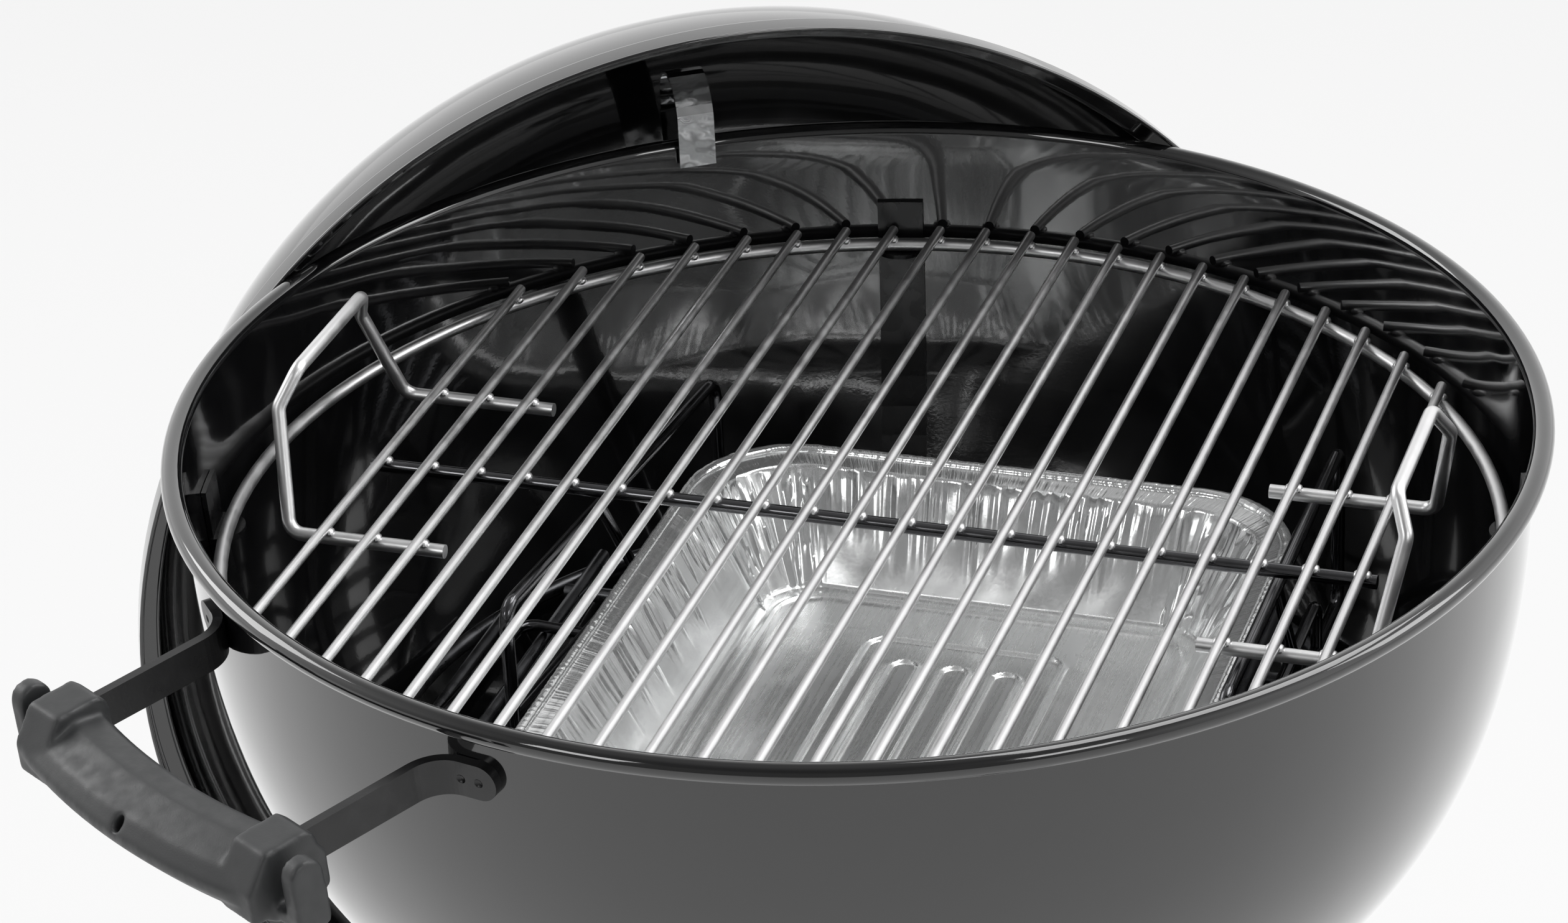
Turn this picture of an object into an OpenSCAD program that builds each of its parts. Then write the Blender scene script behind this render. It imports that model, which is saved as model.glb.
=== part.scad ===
// Kettle charcoal grill on three legs, standing open with its lid hung on the rim.
// Millimetres. Z is up and the ground is z = 0. The origin lies on the ground under the bowl's axis.
// Angles around the bowl are measured anticlockwise from +X. The grate's rods run along Y.

/* [Bowl] */
// Height of the bowl's rim above the ground
rim_h = 720; // [690:1:780]
// Outer radius of the rolled rim
rim_r = 285; // [280:0.5:295]
// Radius of the rolled bead
bead_r = 4.5; // [3.5:0.1:5]
// Depth of the bowl from its rim to its bottom
bowl_depth = 262; // [255:1:275]
// Squareness of the bowl's curve, where 2 is an ellipse
bowl_curve = 2.7; // [2.5:0.05:2.9]
// Thickness of the enamelled steel sheet
sheet = 1.2; // [0.8:0.1:1.6]
// Distance of the air slots from the bowl's axis, at their inner end
slot_in = 48; // [40:1:55]
// Distance of the air slots from the bowl's axis, at their outer end
slot_out = 98; // [85:1:105]
// Width of an air slot
slot_w = 26; // [18:1:30]

/* [Support straps] */
// Angle of the first support strap
strap_angle = 13; // [8:1:20]
// Width of a support strap
strap_w = 21; // [16:1:26]
// Thickness of a support strap
strap_t = 2; // [1.5:0.1:2.5]
// Depth of the straps' top ends below the rim
strap_top = 38; // [30:1:44]
// Radius of the half-round tabs that carry the cooking grate
tab_r = 12; // [10:0.5:14]
// Reach of the straps' feet inwards under the charcoal grate's ring
foot_reach = 9; // [6:0.5:14]

/* [Cooking grate] */
// Depth of the rods' middle below the rim
grate_drop = 51; // [45:0.5:56]
// Radius of the rods
rod_r = 2.2; // [1.5:0.1:2.5]
// Spacing of the rods
rod_pitch = 21.3; // [19:0.1:21.6]
// Number of rods on each side of the middle one
rods_side = 10; // [8:1:10]
// Radius of the ring, bar and handle wire
wire_r = 3; // [2.5:0.1:3.5]
// Distance from the rods' ends in to the middle of the ring
ring_inset = 5.4; // [4:0.2:8]
// Half the length of the cross bar
bar_half = 219; // [200:1:235]
// Distance of the handles' legs from the cross bar
loop_leg_y = 65; // [55:1:75]
// Distance of the handles' inner ends from the middle
loop_in_x = 160; // [140:1:170]
// Distance of the handles' bends from the middle
loop_bend_x = 230; // [224:1:236]
// Height of the handles' upper bar above the rods
loop_rise = 57; // [50:1:62]

/* [Charcoal grate] */
// Depth of the charcoal grate's top below the cooking grate's rods
coal_drop = 112.4; // [108:0.2:118]
// Radius of the charcoal grate's ring
coal_ring_r = 212; // [206:1:216]
// Radius of the charcoal grate's rods
coal_rod_r = 3; // [2.5:0.1:3.5]
// Spacing of the charcoal grate's rods
coal_pitch = 24; // [20:1:26]
// Number of charcoal rods on each side of the middle one
coal_side = 8; // [6:1:8]
// Radius of the charcoal grate's ring and cross bars
coal_ring_wire = 3.5; // [3:0.1:4]

/* [Charcoal rails] */
// Radius of the rail wire
rail_wire = 3; // [2.5:0.1:3.5]
// Length of a rail
rail_len = 218; // [196:1:224]
// Height of a rail's top bar above the charcoal grate
rail_h = 80; // [68:1:86]
// Height of a rail's low bar above the charcoal grate
rail_low = 28; // [22:1:34]
// Distance that a rail's base reaches outwards
rail_base = 50; // [40:1:54]
// Length of a rail's base
rail_base_l = 94; // [70:1:110]
// Gap between the drip pan's rim and a rail
rail_gap = 11; // [9:0.5:12]
// Shift of the rails towards the back
rail_shift = 49; // [20:1:50]
// Turn of the left rail from the rods' direction
rail_turn = 5; // [0:0.5:5]

/* [Drip pan] */
// Width of the pan over its rolled rim
pan_w = 276; // [250:1:284]
// Length of the pan over its rolled rim
pan_l = 336; // [310:1:344]
// Depth of the pan
pan_d = 54; // [45:1:60]
// Slope of the walls: how much narrower the bottom is on each side
pan_slope = 32; // [24:1:34]
// Corner radius of the pan's rim
pan_corner = 48; // [46:1:56]
// Radius of the pan's rolled edge
pan_bead = 2.2; // [1.6:0.1:2.6]
// Thickness of the pan's foil
pan_wall = 0.6; // [0.5:0.1:0.8]
// Width of the raised frame on the pan's bottom
pan_panel = 92; // [80:1:100]
// Shift of the pan to the right
pan_x = 21; // [10:1:26]
// Shift of the pan towards the front
pan_y = -11; // [-20:1:0]

/* [Lid] */
// Play between the bowl's rim and the lid's skirt when the lid is shut
lid_play = 0.3; // [0.2:0.1:0.6]
// Radius of the lid's folded hem
hem_r = 1; // [0.8:0.1:1.4]
// Depth of the lid's skirt
skirt_h = 13; // [10:0.5:16]
// Height of the lid
lid_h = 185; // [170:1:200]
// Squareness of the lid's curve, where 2 is an ellipse
lid_curve = 2.2; // [2.1:0.05:2.4]
// Angle around the bowl at which the lid hangs
hang_angle = 122.6; // [118:0.1:126]
// Height of the bowl's rim above the hung lid's middle
hang_drop = 200; // [196:0.2:206]
// Lean of the hung lid
hang_lean = 3.1; // [2:0.1:4]

/* [Lid hook] */
// Width of the hook's strap
hook_w = 17; // [14:0.5:20]
// Thickness of the hook's strap
hook_t = 1.6; // [1.2:0.1:2]
// Height of the hook's crown above the rim
hook_rise = 29; // [26:0.5:33]
// Radius of the hook's crown
hook_bend = 17.7; // [16:0.1:19]
// Depth of the hook's outer leg below the rim
hook_leg = 44; // [38:1:50]
// Depth of the hook's tip below the rim
hook_tip = 11; // [9:0.5:12]
// Gap between the hook's tip and the rim's bead
hook_gap = 2.6; // [2.2:0.1:3]

/* [Lid fittings] */
// Distance of the lid's vent from the lid's middle
vent_out = 140; // [125:1:150]
// Radius of the vent's disc
vent_r = 42; // [36:1:46]
// Distance of the vent's holes from its rivet
vent_hole_out = 24; // [20:0.5:27]
// Radius of the vent's holes
vent_hole_r = 9; // [6:0.5:10]
// Radius of the vent's rivet
rivet_r = 4; // [3:0.1:5]
// Distance between the lid handle's feet
lid_grip_span = 112; // [100:1:124]
// Height of the lid handle's bar above the lid
lid_grip_rise = 62; // [54:1:70]
// Radius of the lid handle's bar
lid_grip_r = 12; // [10:0.5:14]

/* [Side handle] */
// Angle around the bowl at which the handle sits
side_angle = 239.3; // [236:0.1:246]
// Distance between the two arms
arm_span = 134; // [130:1:146]
// Height of an arm
arm_h = 15.5; // [14:0.5:18]
// Thickness of an arm
arm_t = 4; // [3:0.1:5]
// Radius of an arm's bend
arm_bend = 16; // [12:0.5:18]
// Depth of the arms' top below the rim, where they leave the bowl
arm_drop = 20.5; // [18:0.5:24]
// Angle by which the arms slope down
arm_tilt = 5; // [3:0.5:6]
// Distance of the grip's front from the rim
grip_reach = 89; // [85:1:105]
// Thickness of the grip
grip_t = 34; // [30:0.5:38]
// Height of the grip
grip_h = 26; // [24:0.5:30]
// Radius of the grip's bowed front
grip_bow = 340; // [300:5:500]
// Length of the grip without the tool hooks
grip_l = 154; // [150:1:166]
// Width of a tool hook
hook_tab_w = 15; // [12:0.5:18]
// Gap between a tool hook and the grip's end
hook_tab_gap = 7; // [5:0.5:10]
// Thickness of a tool hook
hook_tab_t = 8; // [6:0.5:10]

/* [Legs and wheels] */
// Angle of the front leg around the bowl
leg_angle = 200; // [196:1:204]
// Lean of the legs
leg_lean = 8.5; // [7:0.5:10]
// Outer radius of a leg tube
leg_r = 12.7; // [11:0.1:13.2]
// Wall of a leg tube
leg_wall = 1.5; // [1:0.1:2]
// Distance of the legs from the axis, level with the bowl's bottom
leg_top_r = 198; // [194:1:202]
// Radius of a wheel
wheel_r = 80; // [72:1:88]
// Width of a wheel's tread
wheel_w = 36; // [30:1:42]
// Radius of the axle
axle_r = 5; // [4:0.1:6]
// Height of the bottom rack above the ground
rack_h = 188; // [175:1:205]
// Spacing of the bottom rack's wires
rack_pitch = 38; // [30:1:44]
// Radius of the foot cap
cap_r = 16; // [15.5:0.5:18]

/* [Ash catcher and damper] */
// Radius of the ash catcher's rim
ash_r = 148; // [130:1:150]
// Depth of the ash catcher
ash_d = 44; // [36:1:50]
// Gap between the bowl's bottom and the ash catcher's rim
ash_gap = 56; // [50:1:64]
// Radius of the damper's shaft
shaft_r = 5; // [4:0.1:6]
// Reach of the damper's blades
blade_out = 112; // [106:1:118]
// Angle that one blade covers
blade_angle = 44; // [40:1:50]
// Length of the damper's lever
lever_l = 205; // [195:1:215]
// Width of the lever
lever_w = 20; // [16:1:24]
// Angle around the bowl at which the lever rests
lever_angle = 232; // [228:1:236]

/* [Fits] */
// Running clearance on a radius, for the axle, the shaft and the vent's rivet
run_fit = 0.05; // [0.02:0.01:0.08]
// Gap under a piece that rests loosely on another
rest_gap = 0.25; // [0.2:0.05:0.3]
// Gap that lets the grate's rods pass the lid's hook
pass_gap = 0.4; // [0.3:0.1:0.8]

/* [Hidden] */
$fn = 64;
steps = 26;
over = 1;

// Depth that crossing welded wires sink into each other
weld = 0.1;

// Heights of the main levels
rod_z = rim_h - grate_drop;
wire_z = rod_z - rod_r - wire_r + weld;
coal_top = rod_z - coal_drop;
coal_rod_z = coal_top - coal_rod_r;
coal_ring_z = coal_rod_z - coal_rod_r - coal_ring_wire + weld;
bottom_z = rim_h - bowl_depth;
bead_z = rim_h - bead_r;

// Radii at the rim
mouth_r = rim_r - 2 * bead_r;
bead_mid = rim_r - bead_r;
wall_out = mouth_r + sheet;
hook_r = mouth_r - hook_gap - hook_t / 2;
rod_reach = hook_r - hook_t / 2 - pass_gap;
ring_r = rod_reach - ring_inset;

// The hung lid: where the hem crosses the rim, and how far out the lid's middle lies
skirt_in = rim_r + lid_play;
hem_mid = skirt_in + hem_r;
hang_z = rim_h - hang_drop;
cross_up = (bead_z - hang_z) / cos(hang_lean);
cross_side = sqrt(pow(hem_mid, 2) - pow(cross_up, 2));
cross_slope = cross_side / hem_mid * cos(hang_lean);
cross_flat = cross_up / hem_mid;
touch = (hem_r + bead_r + rest_gap) / cross_slope
    * sqrt(pow(cross_slope, 2) + pow(cross_flat * cross_side / bead_mid, 2));
cross_out = sqrt(pow(bead_mid + touch, 2) - pow(cross_side, 2));
hang_out = cross_out + (bead_z - hang_z) * tan(hang_lean);

// Legs: the front one, then the two that carry the axle
leg_angles = [leg_angle, leg_angle - 120, leg_angle + 120];
leg_slope = tan(leg_lean);
foot_r = leg_top_r + bottom_z * leg_slope;
socket_low = 34;
socket_wall = 1.6;
leg_plug = 6;
leg_low = 8;
cap_h = 34;

// Axle and wheels
axle_h = wheel_r;
axle_leg_r = leg_radius(axle_h);
axle_out = axle_leg_r * cos(60);
axle_half = axle_leg_r * sin(60);
wheel_gap = leg_r + 5;
hub_l = wheel_w + 6;
hub_r = 17;
wheel_mid = axle_half + wheel_gap + hub_l / 2;
axle_end = wheel_mid + hub_l / 2 + 6;

// Damper and lever
blade_t = 1.4;
lever_t = 3;
lever_z = bottom_z - 12;
shaft_head = 9;

// Ash catcher
ash_z = bottom_z - ash_gap;
ash_bead = 2.5;
ash_wall = 1;
ash_lip = 13;

// Side handle
arm_z = rim_h - arm_drop - arm_h;
arm_mid_z = arm_z + arm_h / 2;
grip_sink = 5;
grip_z = arm_mid_z - grip_h / 2 - grip_sink;
grip_front = rim_r + grip_reach;
grip_rear = grip_front - grip_t;
saddle_w = 20;
saddle_back = 7;
saddle_up = 5;
arm_end = grip_front - 16;

// Distance of a leg's middle line from the bowl's axis at height z
function leg_radius(z) = leg_top_r + (bottom_z - z) * leg_slope;

// Points [radius, depth] of a rounded bowl-like curve, from its rim to its middle
function curve(r, d, n) = [for (i = [0:steps]) let (t = 90 * i / steps)
    [r * pow(cos(t), 2 / n), d * pow(sin(t), 2 / n)]];

// Radius of the curve at a given depth
function curve_r(r, d, n, depth) = r * pow(1 - pow(depth / d, n), 1 / n);

// Depth of the curve at a given radius
function curve_d(r, d, n, radius) = d * pow(1 - pow(radius / r, n), 1 / n);

// Outline of a band between two such curves, the second one t inside the first
function band(r, d, n, t) = concat(curve(r, d, n), reverse(curve(r - t, d - t, n)));
function reverse(list) = [for (i = [len(list) - 1:-1:0]) list[i]];

// Points of an arc around c
function arc(c, r, a, b, n) = [for (i = [0:n]) let (t = a + (b - a) * i / n) c + r * [cos(t), sin(t)]];

// Outline of a strip of sheet with thickness t along a path
function strip(path, t) =
    let (last = len(path) - 1,
        side = [for (i = [0:last]) let (d = path[min(i + 1, last)] - path[max(i - 1, 0)])
            [-d[1], d[0]] / norm(d)])
    concat([for (i = [0:last]) path[i] + side[i] * t / 2],
        [for (i = [last:-1:0]) path[i] - side[i] * t / 2]);

// A straight round bar between two points
module bar(a, b, r) {
    d = b - a;
    translate(a) rotate([0, acos(d[2] / norm(d)), atan2(d[1], d[0])]) cylinder(h = norm(d), r = r);
}

// A bent round wire through a list of points, with bends of radius b
module wire(path, r, b) {
    last = len(path) - 1;
    dir = [for (i = [0:last - 1]) (path[i + 1] - path[i]) / norm(path[i + 1] - path[i])];
    turn = [for (i = [0:last]) i == 0 || i == last ? 0 : acos(dir[i - 1] * dir[i])];
    trim = [for (t = turn) b * tan(t / 2)];
    for (i = [0:last - 1]) bar(path[i] + dir[i] * trim[i], path[i + 1] - dir[i] * trim[i + 1], r);
    for (i = [1:last - 1]) bend(path[i] - dir[i - 1] * trim[i], dir[i - 1], dir[i], turn[i], r, b);
}

// A bend that starts at a in direction u and turns towards direction v
module bend(a, u, v, turn, r, b) {
    n = (v - u * cos(turn)) / sin(turn);
    c = a + n * b;
    w = cross(-n, u);
    multmatrix([[-n[0], u[0], w[0], c[0]], [-n[1], u[1], w[1], c[1]], [-n[2], u[2], w[2], c[2]]])
        rotate_extrude(angle = turn) translate([b, 0]) circle(r = r, $fn = 32);
}

// A round wire through a list of points, with a small ball at each corner and every second
// stretch a little thinner
module knuckle_wire(path, r) {
    for (i = [0:len(path) - 2]) bar(path[i], path[i + 1], r - 0.06 * (i % 2));
    for (i = [1:len(path) - 2]) translate(path[i]) sphere(r = r + 0.25);
}

// A ring of round wire
module ring(r, wire) {
    rotate_extrude() translate([r, 0]) circle(r = wire, $fn = 32);
}

// A flat plate with round corners
module plate(w, l, t, corner) {
    linear_extrude(height = t) rounded(w, l, corner);
}

// A flat rounded rectangle
module rounded(w, l, corner) {
    square([w - 2 * corner, l], center = true);
    square([w, l - 2 * corner], center = true);
    for (x = [-1, 1], y = [-1, 1])
        translate([x * (w / 2 - corner), y * (l / 2 - corner)]) circle(r = corner);
}

// The space that the bowl fills, with its outer skin as the boundary
module bowl_space() {
    translate([0, 0, bead_z]) mirror([0, 0, 1])
        rotate_extrude() polygon(concat([[0, 0]], curve(wall_out, bowl_depth - bead_r, bowl_curve)));
}

// A layer of thickness t on the bowl's inner skin, raised by gap
module bowl_layer(gap, t, angle) {
    inner = sheet + gap;
    translate([0, 0, bead_z]) mirror([0, 0, 1]) rotate_extrude(angle = angle)
        polygon(band(wall_out - inner, bowl_depth - bead_r - inner, bowl_curve, t));
}

module bowl() {
    color("dimgray") difference() {
        union() {
            bowl_layer(-sheet, sheet, 360);
            translate([0, 0, bead_z]) ring(bead_mid, bead_r);
        }
        translate([0, 0, bottom_z - over]) cylinder(h = 20, r = shaft_r + run_fit);
        for (a = [0, 120, 240]) rotate(a) air_slot();
    }
}

// One radial slot through the bowl's bottom
module air_slot() {
    translate([0, 0, bottom_z - over]) linear_extrude(height = 60) {
        translate([slot_in + slot_w / 2, 0]) circle(d = slot_w);
        translate([slot_out - slot_w / 2, 0]) circle(d = slot_w);
        translate([slot_in + slot_w / 2, -slot_w / 2]) square([slot_out - slot_in - slot_w, slot_w]);
    }
}

// Four strips on the bowl's wall, each with a tab for the cooking grate and a foot below
module support_straps() {
    for (i = [0:3]) color("dimgray") rotate(strap_angle + 90 * i) support_strap();
}

module support_strap() {
    tab_z = wire_z - wire_r - rest_gap - strap_t;
    foot_z = coal_ring_z - coal_ring_wire - rest_gap - strap_t;
    foot_in = coal_ring_r - foot_reach;
    depth = bead_z - foot_z;
    foot_out = curve_r(wall_out - sheet, bowl_depth - bead_r - sheet, bowl_curve, depth);
    tab_wall = curve_r(wall_out - sheet, bowl_depth - bead_r - sheet, bowl_curve, bead_z - tab_z);
    spread = strap_w / wall_out * 180 / PI;
    intersection() {
        bowl_layer(rest_gap, strap_t, 360);
        translate([150, -strap_w / 2, foot_z])
            cube([rim_r, strap_w, rim_h - strap_top - foot_z]);
    }
    translate([0, 0, foot_z]) intersection() {
        translate([foot_in, -strap_w / 2, 0]) cube([rim_r, strap_w, strap_t]);
        cylinder(h = strap_t, r = foot_out - strap_t / 2);
    }
    translate([0, 0, tab_z]) intersection() {
        translate([tab_wall - strap_t, 0, 0]) cylinder(h = strap_t, r = tab_r);
        cylinder(h = strap_t, r = tab_wall - strap_t / 2);
    }
}

module cooking_ring() {
    color("silver") translate([0, 0, wire_z]) ring(ring_r, wire_r);
}

module cooking_rods() {
    color("silver") for (i = [-rods_side:rods_side]) {
        x = i * rod_pitch;
        half = sqrt(pow(rod_reach, 2) - pow(abs(x) + rod_r, 2));
        translate([x, 0, rod_z]) rotate([90, 0, 0]) cylinder(h = 2 * half, r = rod_r, center = true);
    }
}

module cooking_cross_bar() {
    color("silver") translate([0, 0, wire_z]) rotate([0, 90, 0])
        cylinder(h = 2 * bar_half, r = wire_r, center = true);
}

// A lift handle of bent wire, welded under the outer rods on one side
module cooking_handle(side) {
    knee = [loop_bend_x + 9, loop_leg_y - 20, rod_z + loop_rise - 14];
    top = [loop_bend_x + 3, loop_leg_y - 30, rod_z + loop_rise];
    half = [[loop_in_x, loop_leg_y, wire_z], [loop_bend_x, loop_leg_y, wire_z], knee, top];
    path = concat(half, [for (p = reverse(half)) [p[0], -p[1], p[2]]]);
    color("silver") knuckle_wire([for (p = path) [side * p[0], p[1], p[2]]], wire_r);
}

module cooking_handle_left() {
    cooking_handle(-1);
}

module cooking_handle_right() {
    cooking_handle(1);
}

module coal_ring() {
    color("gray") translate([0, 0, coal_ring_z]) ring(coal_ring_r, coal_ring_wire);
}

module coal_rods() {
    color("gray") for (i = [-coal_side:coal_side]) {
        x = i * coal_pitch;
        half = sqrt(pow(coal_ring_r + coal_ring_wire, 2) - pow(abs(x) + coal_rod_r, 2));
        translate([x, 0, coal_rod_z]) rotate([90, 0, 0])
            cylinder(h = 2 * half, r = coal_rod_r, center = true);
    }
}

module coal_cross_bars() {
    y = coal_ring_r / 2;
    half = sqrt(pow(coal_ring_r - coal_ring_wire, 2) - pow(y + coal_ring_wire, 2));
    color("gray") for (s = [-1, 1]) translate([0, s * y, coal_ring_z]) rotate([0, 90, 0])
        cylinder(h = 2 * half, r = coal_ring_wire, center = true);
}

// A bent-wire rail: a long hoop, a base that lies on the charcoal grate, a low bar and a brace
module coal_rail(side) {
    half = rail_len / 2;
    low_end = half * 0.6;
    thin = rail_wire - 0.4;
    z = rail_wire - weld;
    bend = 8;
    base_y = 16 - half;
    hoop = [[0, 0, z], [0, -half, z], [0, -half, rail_h], [0, half, rail_h], [0, half, z], [0, 0, z]];
    base = [[0, base_y, z], [rail_base, base_y, z], [rail_base, base_y + rail_base_l, z],
        [0, base_y + rail_base_l, z]];
    low = [[0, -half, rail_low], [0, low_end, rail_low], [0, low_end, z]];
    color("dimgray")
        translate([pan_x + side * (pan_w / 2 + rail_gap), rail_shift, coal_top])
        rotate([0, 0, side < 0 ? -rail_turn : 0]) mirror([side < 0 ? 1 : 0, 0, 0]) {
            wire(hoop, rail_wire, bend);
            wire(base, thin, bend);
            wire(low, thin, bend);
            bar([0, 18, rail_low], [0, -15, rail_h], thin);
        }
}

module coal_rail_left() {
    coal_rail(-1);
}

module coal_rail_right() {
    coal_rail(1);
}

// The space inside a tray with sloping walls and round corners
module tray(w, l, corner, h) {
    for (x = [-1, 1], y = [-1, 1]) translate([x * (w / 2 - corner), y * (l / 2 - corner), 0])
        cylinder(h = h, r1 = corner - pan_slope, r2 = corner);
    rotate([90, 0, 0]) linear_extrude(height = l - 2 * corner, center = true) tray_slice(w, h);
    rotate([90, 0, 90]) linear_extrude(height = w - 2 * corner, center = true) tray_slice(l, h);
}

module tray_slice(w, h) {
    low = w / 2 - pan_slope;
    polygon([[-low, 0], [low, 0], [w / 2, h], [-w / 2, h]]);
}

// A foil pan with sloping walls, a flat lip, a rolled edge and a raised pattern on its bottom
module drip_pan() {
    lip = 5;
    in_w = pan_w - 2 * (pan_bead + lip);
    in_l = pan_l - 2 * (pan_bead + lip);
    corner = pan_corner - pan_bead - lip;
    top_z = pan_d - pan_bead;
    panel_l = pan_l - 146;
    bead = 1.2;
    color("lightgray") translate([pan_x, pan_y, coal_top + rest_gap]) {
        difference() {
            tray(in_w, in_l, corner, top_z);
            translate([0, 0, pan_wall])
                tray(in_w - 2 * pan_wall, in_l - 2 * pan_wall, corner - pan_wall, top_z);
        }
        difference() {
            translate([0, 0, top_z - pan_wall])
                plate(pan_w - 2 * pan_bead, pan_l - 2 * pan_bead, pan_wall, pan_corner - pan_bead);
            tray(in_w - pan_wall, in_l - pan_wall, corner - pan_wall / 2, top_z + over);
        }
        translate([0, 0, top_z]) rolled_edge();
        translate([0, 0, pan_wall]) difference() {
            plate(pan_panel, panel_l, bead, 10);
            translate([0, 0, -over]) plate(pan_panel - 6, panel_l - 6, bead + 2 * over, 7);
        }
        for (i = [-1:1]) translate([i * pan_panel / 4, 0, pan_wall]) plate(6, panel_l - 44, bead, 2.9);
    }
}

// The pan's rolled edge: a round bead that follows the rim
module rolled_edge() {
    w = pan_w / 2 - pan_corner;
    l = pan_l / 2 - pan_corner;
    bend = pan_corner - pan_bead;
    for (s = [-1, 1]) {
        translate([s * (w + bend), 0, 0]) rotate([90, 0, 0])
            cylinder(h = 2 * l, r = pan_bead, center = true, $fn = 32);
        translate([0, s * (l + bend), 0]) rotate([0, 90, 0])
            cylinder(h = 2 * w, r = pan_bead, center = true, $fn = 32);
    }
    for (c = [[1, 1, 0], [-1, 1, 90], [-1, -1, 180], [1, -1, 270]])
        translate([c[0] * w, c[1] * l, 0]) rotate(c[2])
            rotate_extrude(angle = 90) translate([bend, 0]) circle(r = pan_bead, $fn = 32);
}

// Places the lid, built with its rim at z = 0 and its dome upwards, as it hangs on the bowl
module hung() {
    translate([hang_out * cos(hang_angle), hang_out * sin(hang_angle), hang_z])
        rotate([90 - hang_lean, 0, hang_angle + 90]) children();
}

dome_r = mouth_r + sheet;
dome_d = lid_h - skirt_h;

// A layer of thickness t under the dome's inner skin
module dome_layer(t) {
    translate([0, 0, skirt_h]) rotate_extrude()
        polygon(band(dome_r - sheet, dome_d - sheet, lid_curve, t));
}

// The space that the dome fills, with its outer skin as the boundary
module dome_space() {
    translate([0, 0, skirt_h - over]) cylinder(h = over, r = dome_r);
    translate([0, 0, skirt_h]) rotate_extrude()
        polygon(concat([[0, 0]], curve(dome_r, dome_d, lid_curve)));
}

module lid_shell() {
    inner = reverse(curve(dome_r - sheet, dome_d - sheet, lid_curve));
    skirt = [[dome_r - sheet, skirt_h - sheet], [skirt_in, skirt_h - sheet], [skirt_in, 0],
        [skirt_in + sheet, 0], [skirt_in + sheet, skirt_h], [dome_r, skirt_h]];
    color("dimgray") hung() difference() {
        union() {
            rotate_extrude() polygon(concat(skirt, [for (p = curve(dome_r, dome_d, lid_curve))
                if (p[1] > 0) p + [0, skirt_h]], [for (p = inner) p + [0, skirt_h]]));
            ring(hem_mid, hem_r);
        }
        vent_place() {
            translate([0, 0, -10]) cylinder(h = 20, r = rivet_r);
            vent_holes();
        }
        bolt_places() translate([0, 0, -20]) cylinder(h = 40, r = bolt_r);
    }
}

// The vent lies towards the lid's far side from the hook, square to the dome
vent_z = skirt_h + curve_d(dome_r, dome_d, lid_curve, vent_out);
vent_tilt = atan((curve_d(dome_r, dome_d, lid_curve, vent_out - over)
    - curve_d(dome_r, dome_d, lid_curve, vent_out + over)) / (2 * over));
vent_dish = 600;
vent_t = 1;

module vent_place() {
    translate([0, -vent_out, vent_z]) rotate([vent_tilt, 0, 0]) children();
}

module vent_holes() {
    for (i = [0:3]) rotate(90 * i + 45) translate([vent_hole_out, 0, -16]) cylinder(h = 32, r = vent_hole_r);
}

// A slightly dished disc with four holes and a thumb tab
module vent_disc() {
    tab_sink = 1.6;
    top = rest_gap + vent_t;
    profile = concat([for (i = [0:8]) let (r = (rivet_r + run_fit) + (vent_r - rivet_r - run_fit) * i / 8)
        [r, rest_gap - r * r / (2 * vent_dish)]],
        [for (i = [8:-1:0]) let (r = (rivet_r + run_fit) + (vent_r - rivet_r - run_fit) * i / 8)
        [r, top - r * r / (2 * vent_dish)]]);
    color("silver") hung() vent_place() {
        difference() {
            rotate_extrude() polygon(profile);
            vent_holes();
        }
        translate([vent_r - 4, 0, top]) rotate([90, 0, 0]) linear_extrude(height = 16, center = true)
            polygon(strip([[0, -tab_sink], [0, 2], [1, 4], [5, 15]], 1.2));
    }
}

module vent_rivet() {
    color("silver") hung() vent_place() difference() {
        union() {
            translate([0, 0, -5]) cylinder(h = 6.6 + rest_gap, r = rivet_r);
            translate([0, 0, rest_gap + vent_t + rest_gap]) rotate_extrude()
                polygon(concat([[0, 0]], [for (i = [0:6]) [8 * cos(15 * i), 3 * sin(15 * i)]]));
        }
        translate([0, 0, -9]) cylinder(h = 4.5, r = 1.5);
    }
}

// Turns a radius and height of the hung lid into [depth behind its rim, height above its middle]
function to_lid(r, z) = let (a = r - hang_out, b = z - hang_z)
    [a * cos(hang_lean) + b * sin(hang_lean), b * cos(hang_lean) - a * sin(hang_lean)];

// The space inside the dome
module dome_inside() {
    translate([0, 0, skirt_h]) rotate_extrude()
        polygon(concat([[0, 0]], curve(dome_r - sheet, dome_d - sheet, lid_curve)));
}

// The hook: a strap welded inside the dome that curls over the bowl's rim
module lid_hook() {
    crown_z = rim_h + hook_rise - hook_t / 2 - hook_bend;
    elbow = 14;
    pad_l = 34;
    over_rim = concat([[hook_r, rim_h - hook_tip]],
        arc([hook_r + hook_bend, crown_z], hook_bend, 180, 0, 14),
        [[hook_r + 2 * hook_bend, rim_h - hook_leg]]);
    inside = [for (p = over_rim) to_lid(p[0], p[1])];
    low = inside[len(inside) - 1];
    turn = arc(low + [elbow, 0], elbow, 180, 250, 5);
    knee = turn[len(turn) - 1];
    reach = lid_h;
    path = concat(inside, [for (i = [1:5]) turn[i]], [knee + reach * [cos(20), -sin(20)]]);
    pad_top = knee[1] - tan(20) * (curve_d(dome_r, dome_d, lid_curve, knee[1] - 30) + skirt_h - knee[0]);
    color("silver") hung() intersection() {
        dome_inside();
        union() {
            rotate([90, 0, 90]) linear_extrude(height = hook_w, center = true)
                polygon(strip([for (p = path) [p[1], p[0]]], hook_t));
            intersection() {
                dome_layer(hook_t);
                translate([-hook_w / 2, pad_top - pad_l, skirt_h]) cube([hook_w, pad_l + 5, lid_h]);
            }
        }
    }
}

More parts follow.
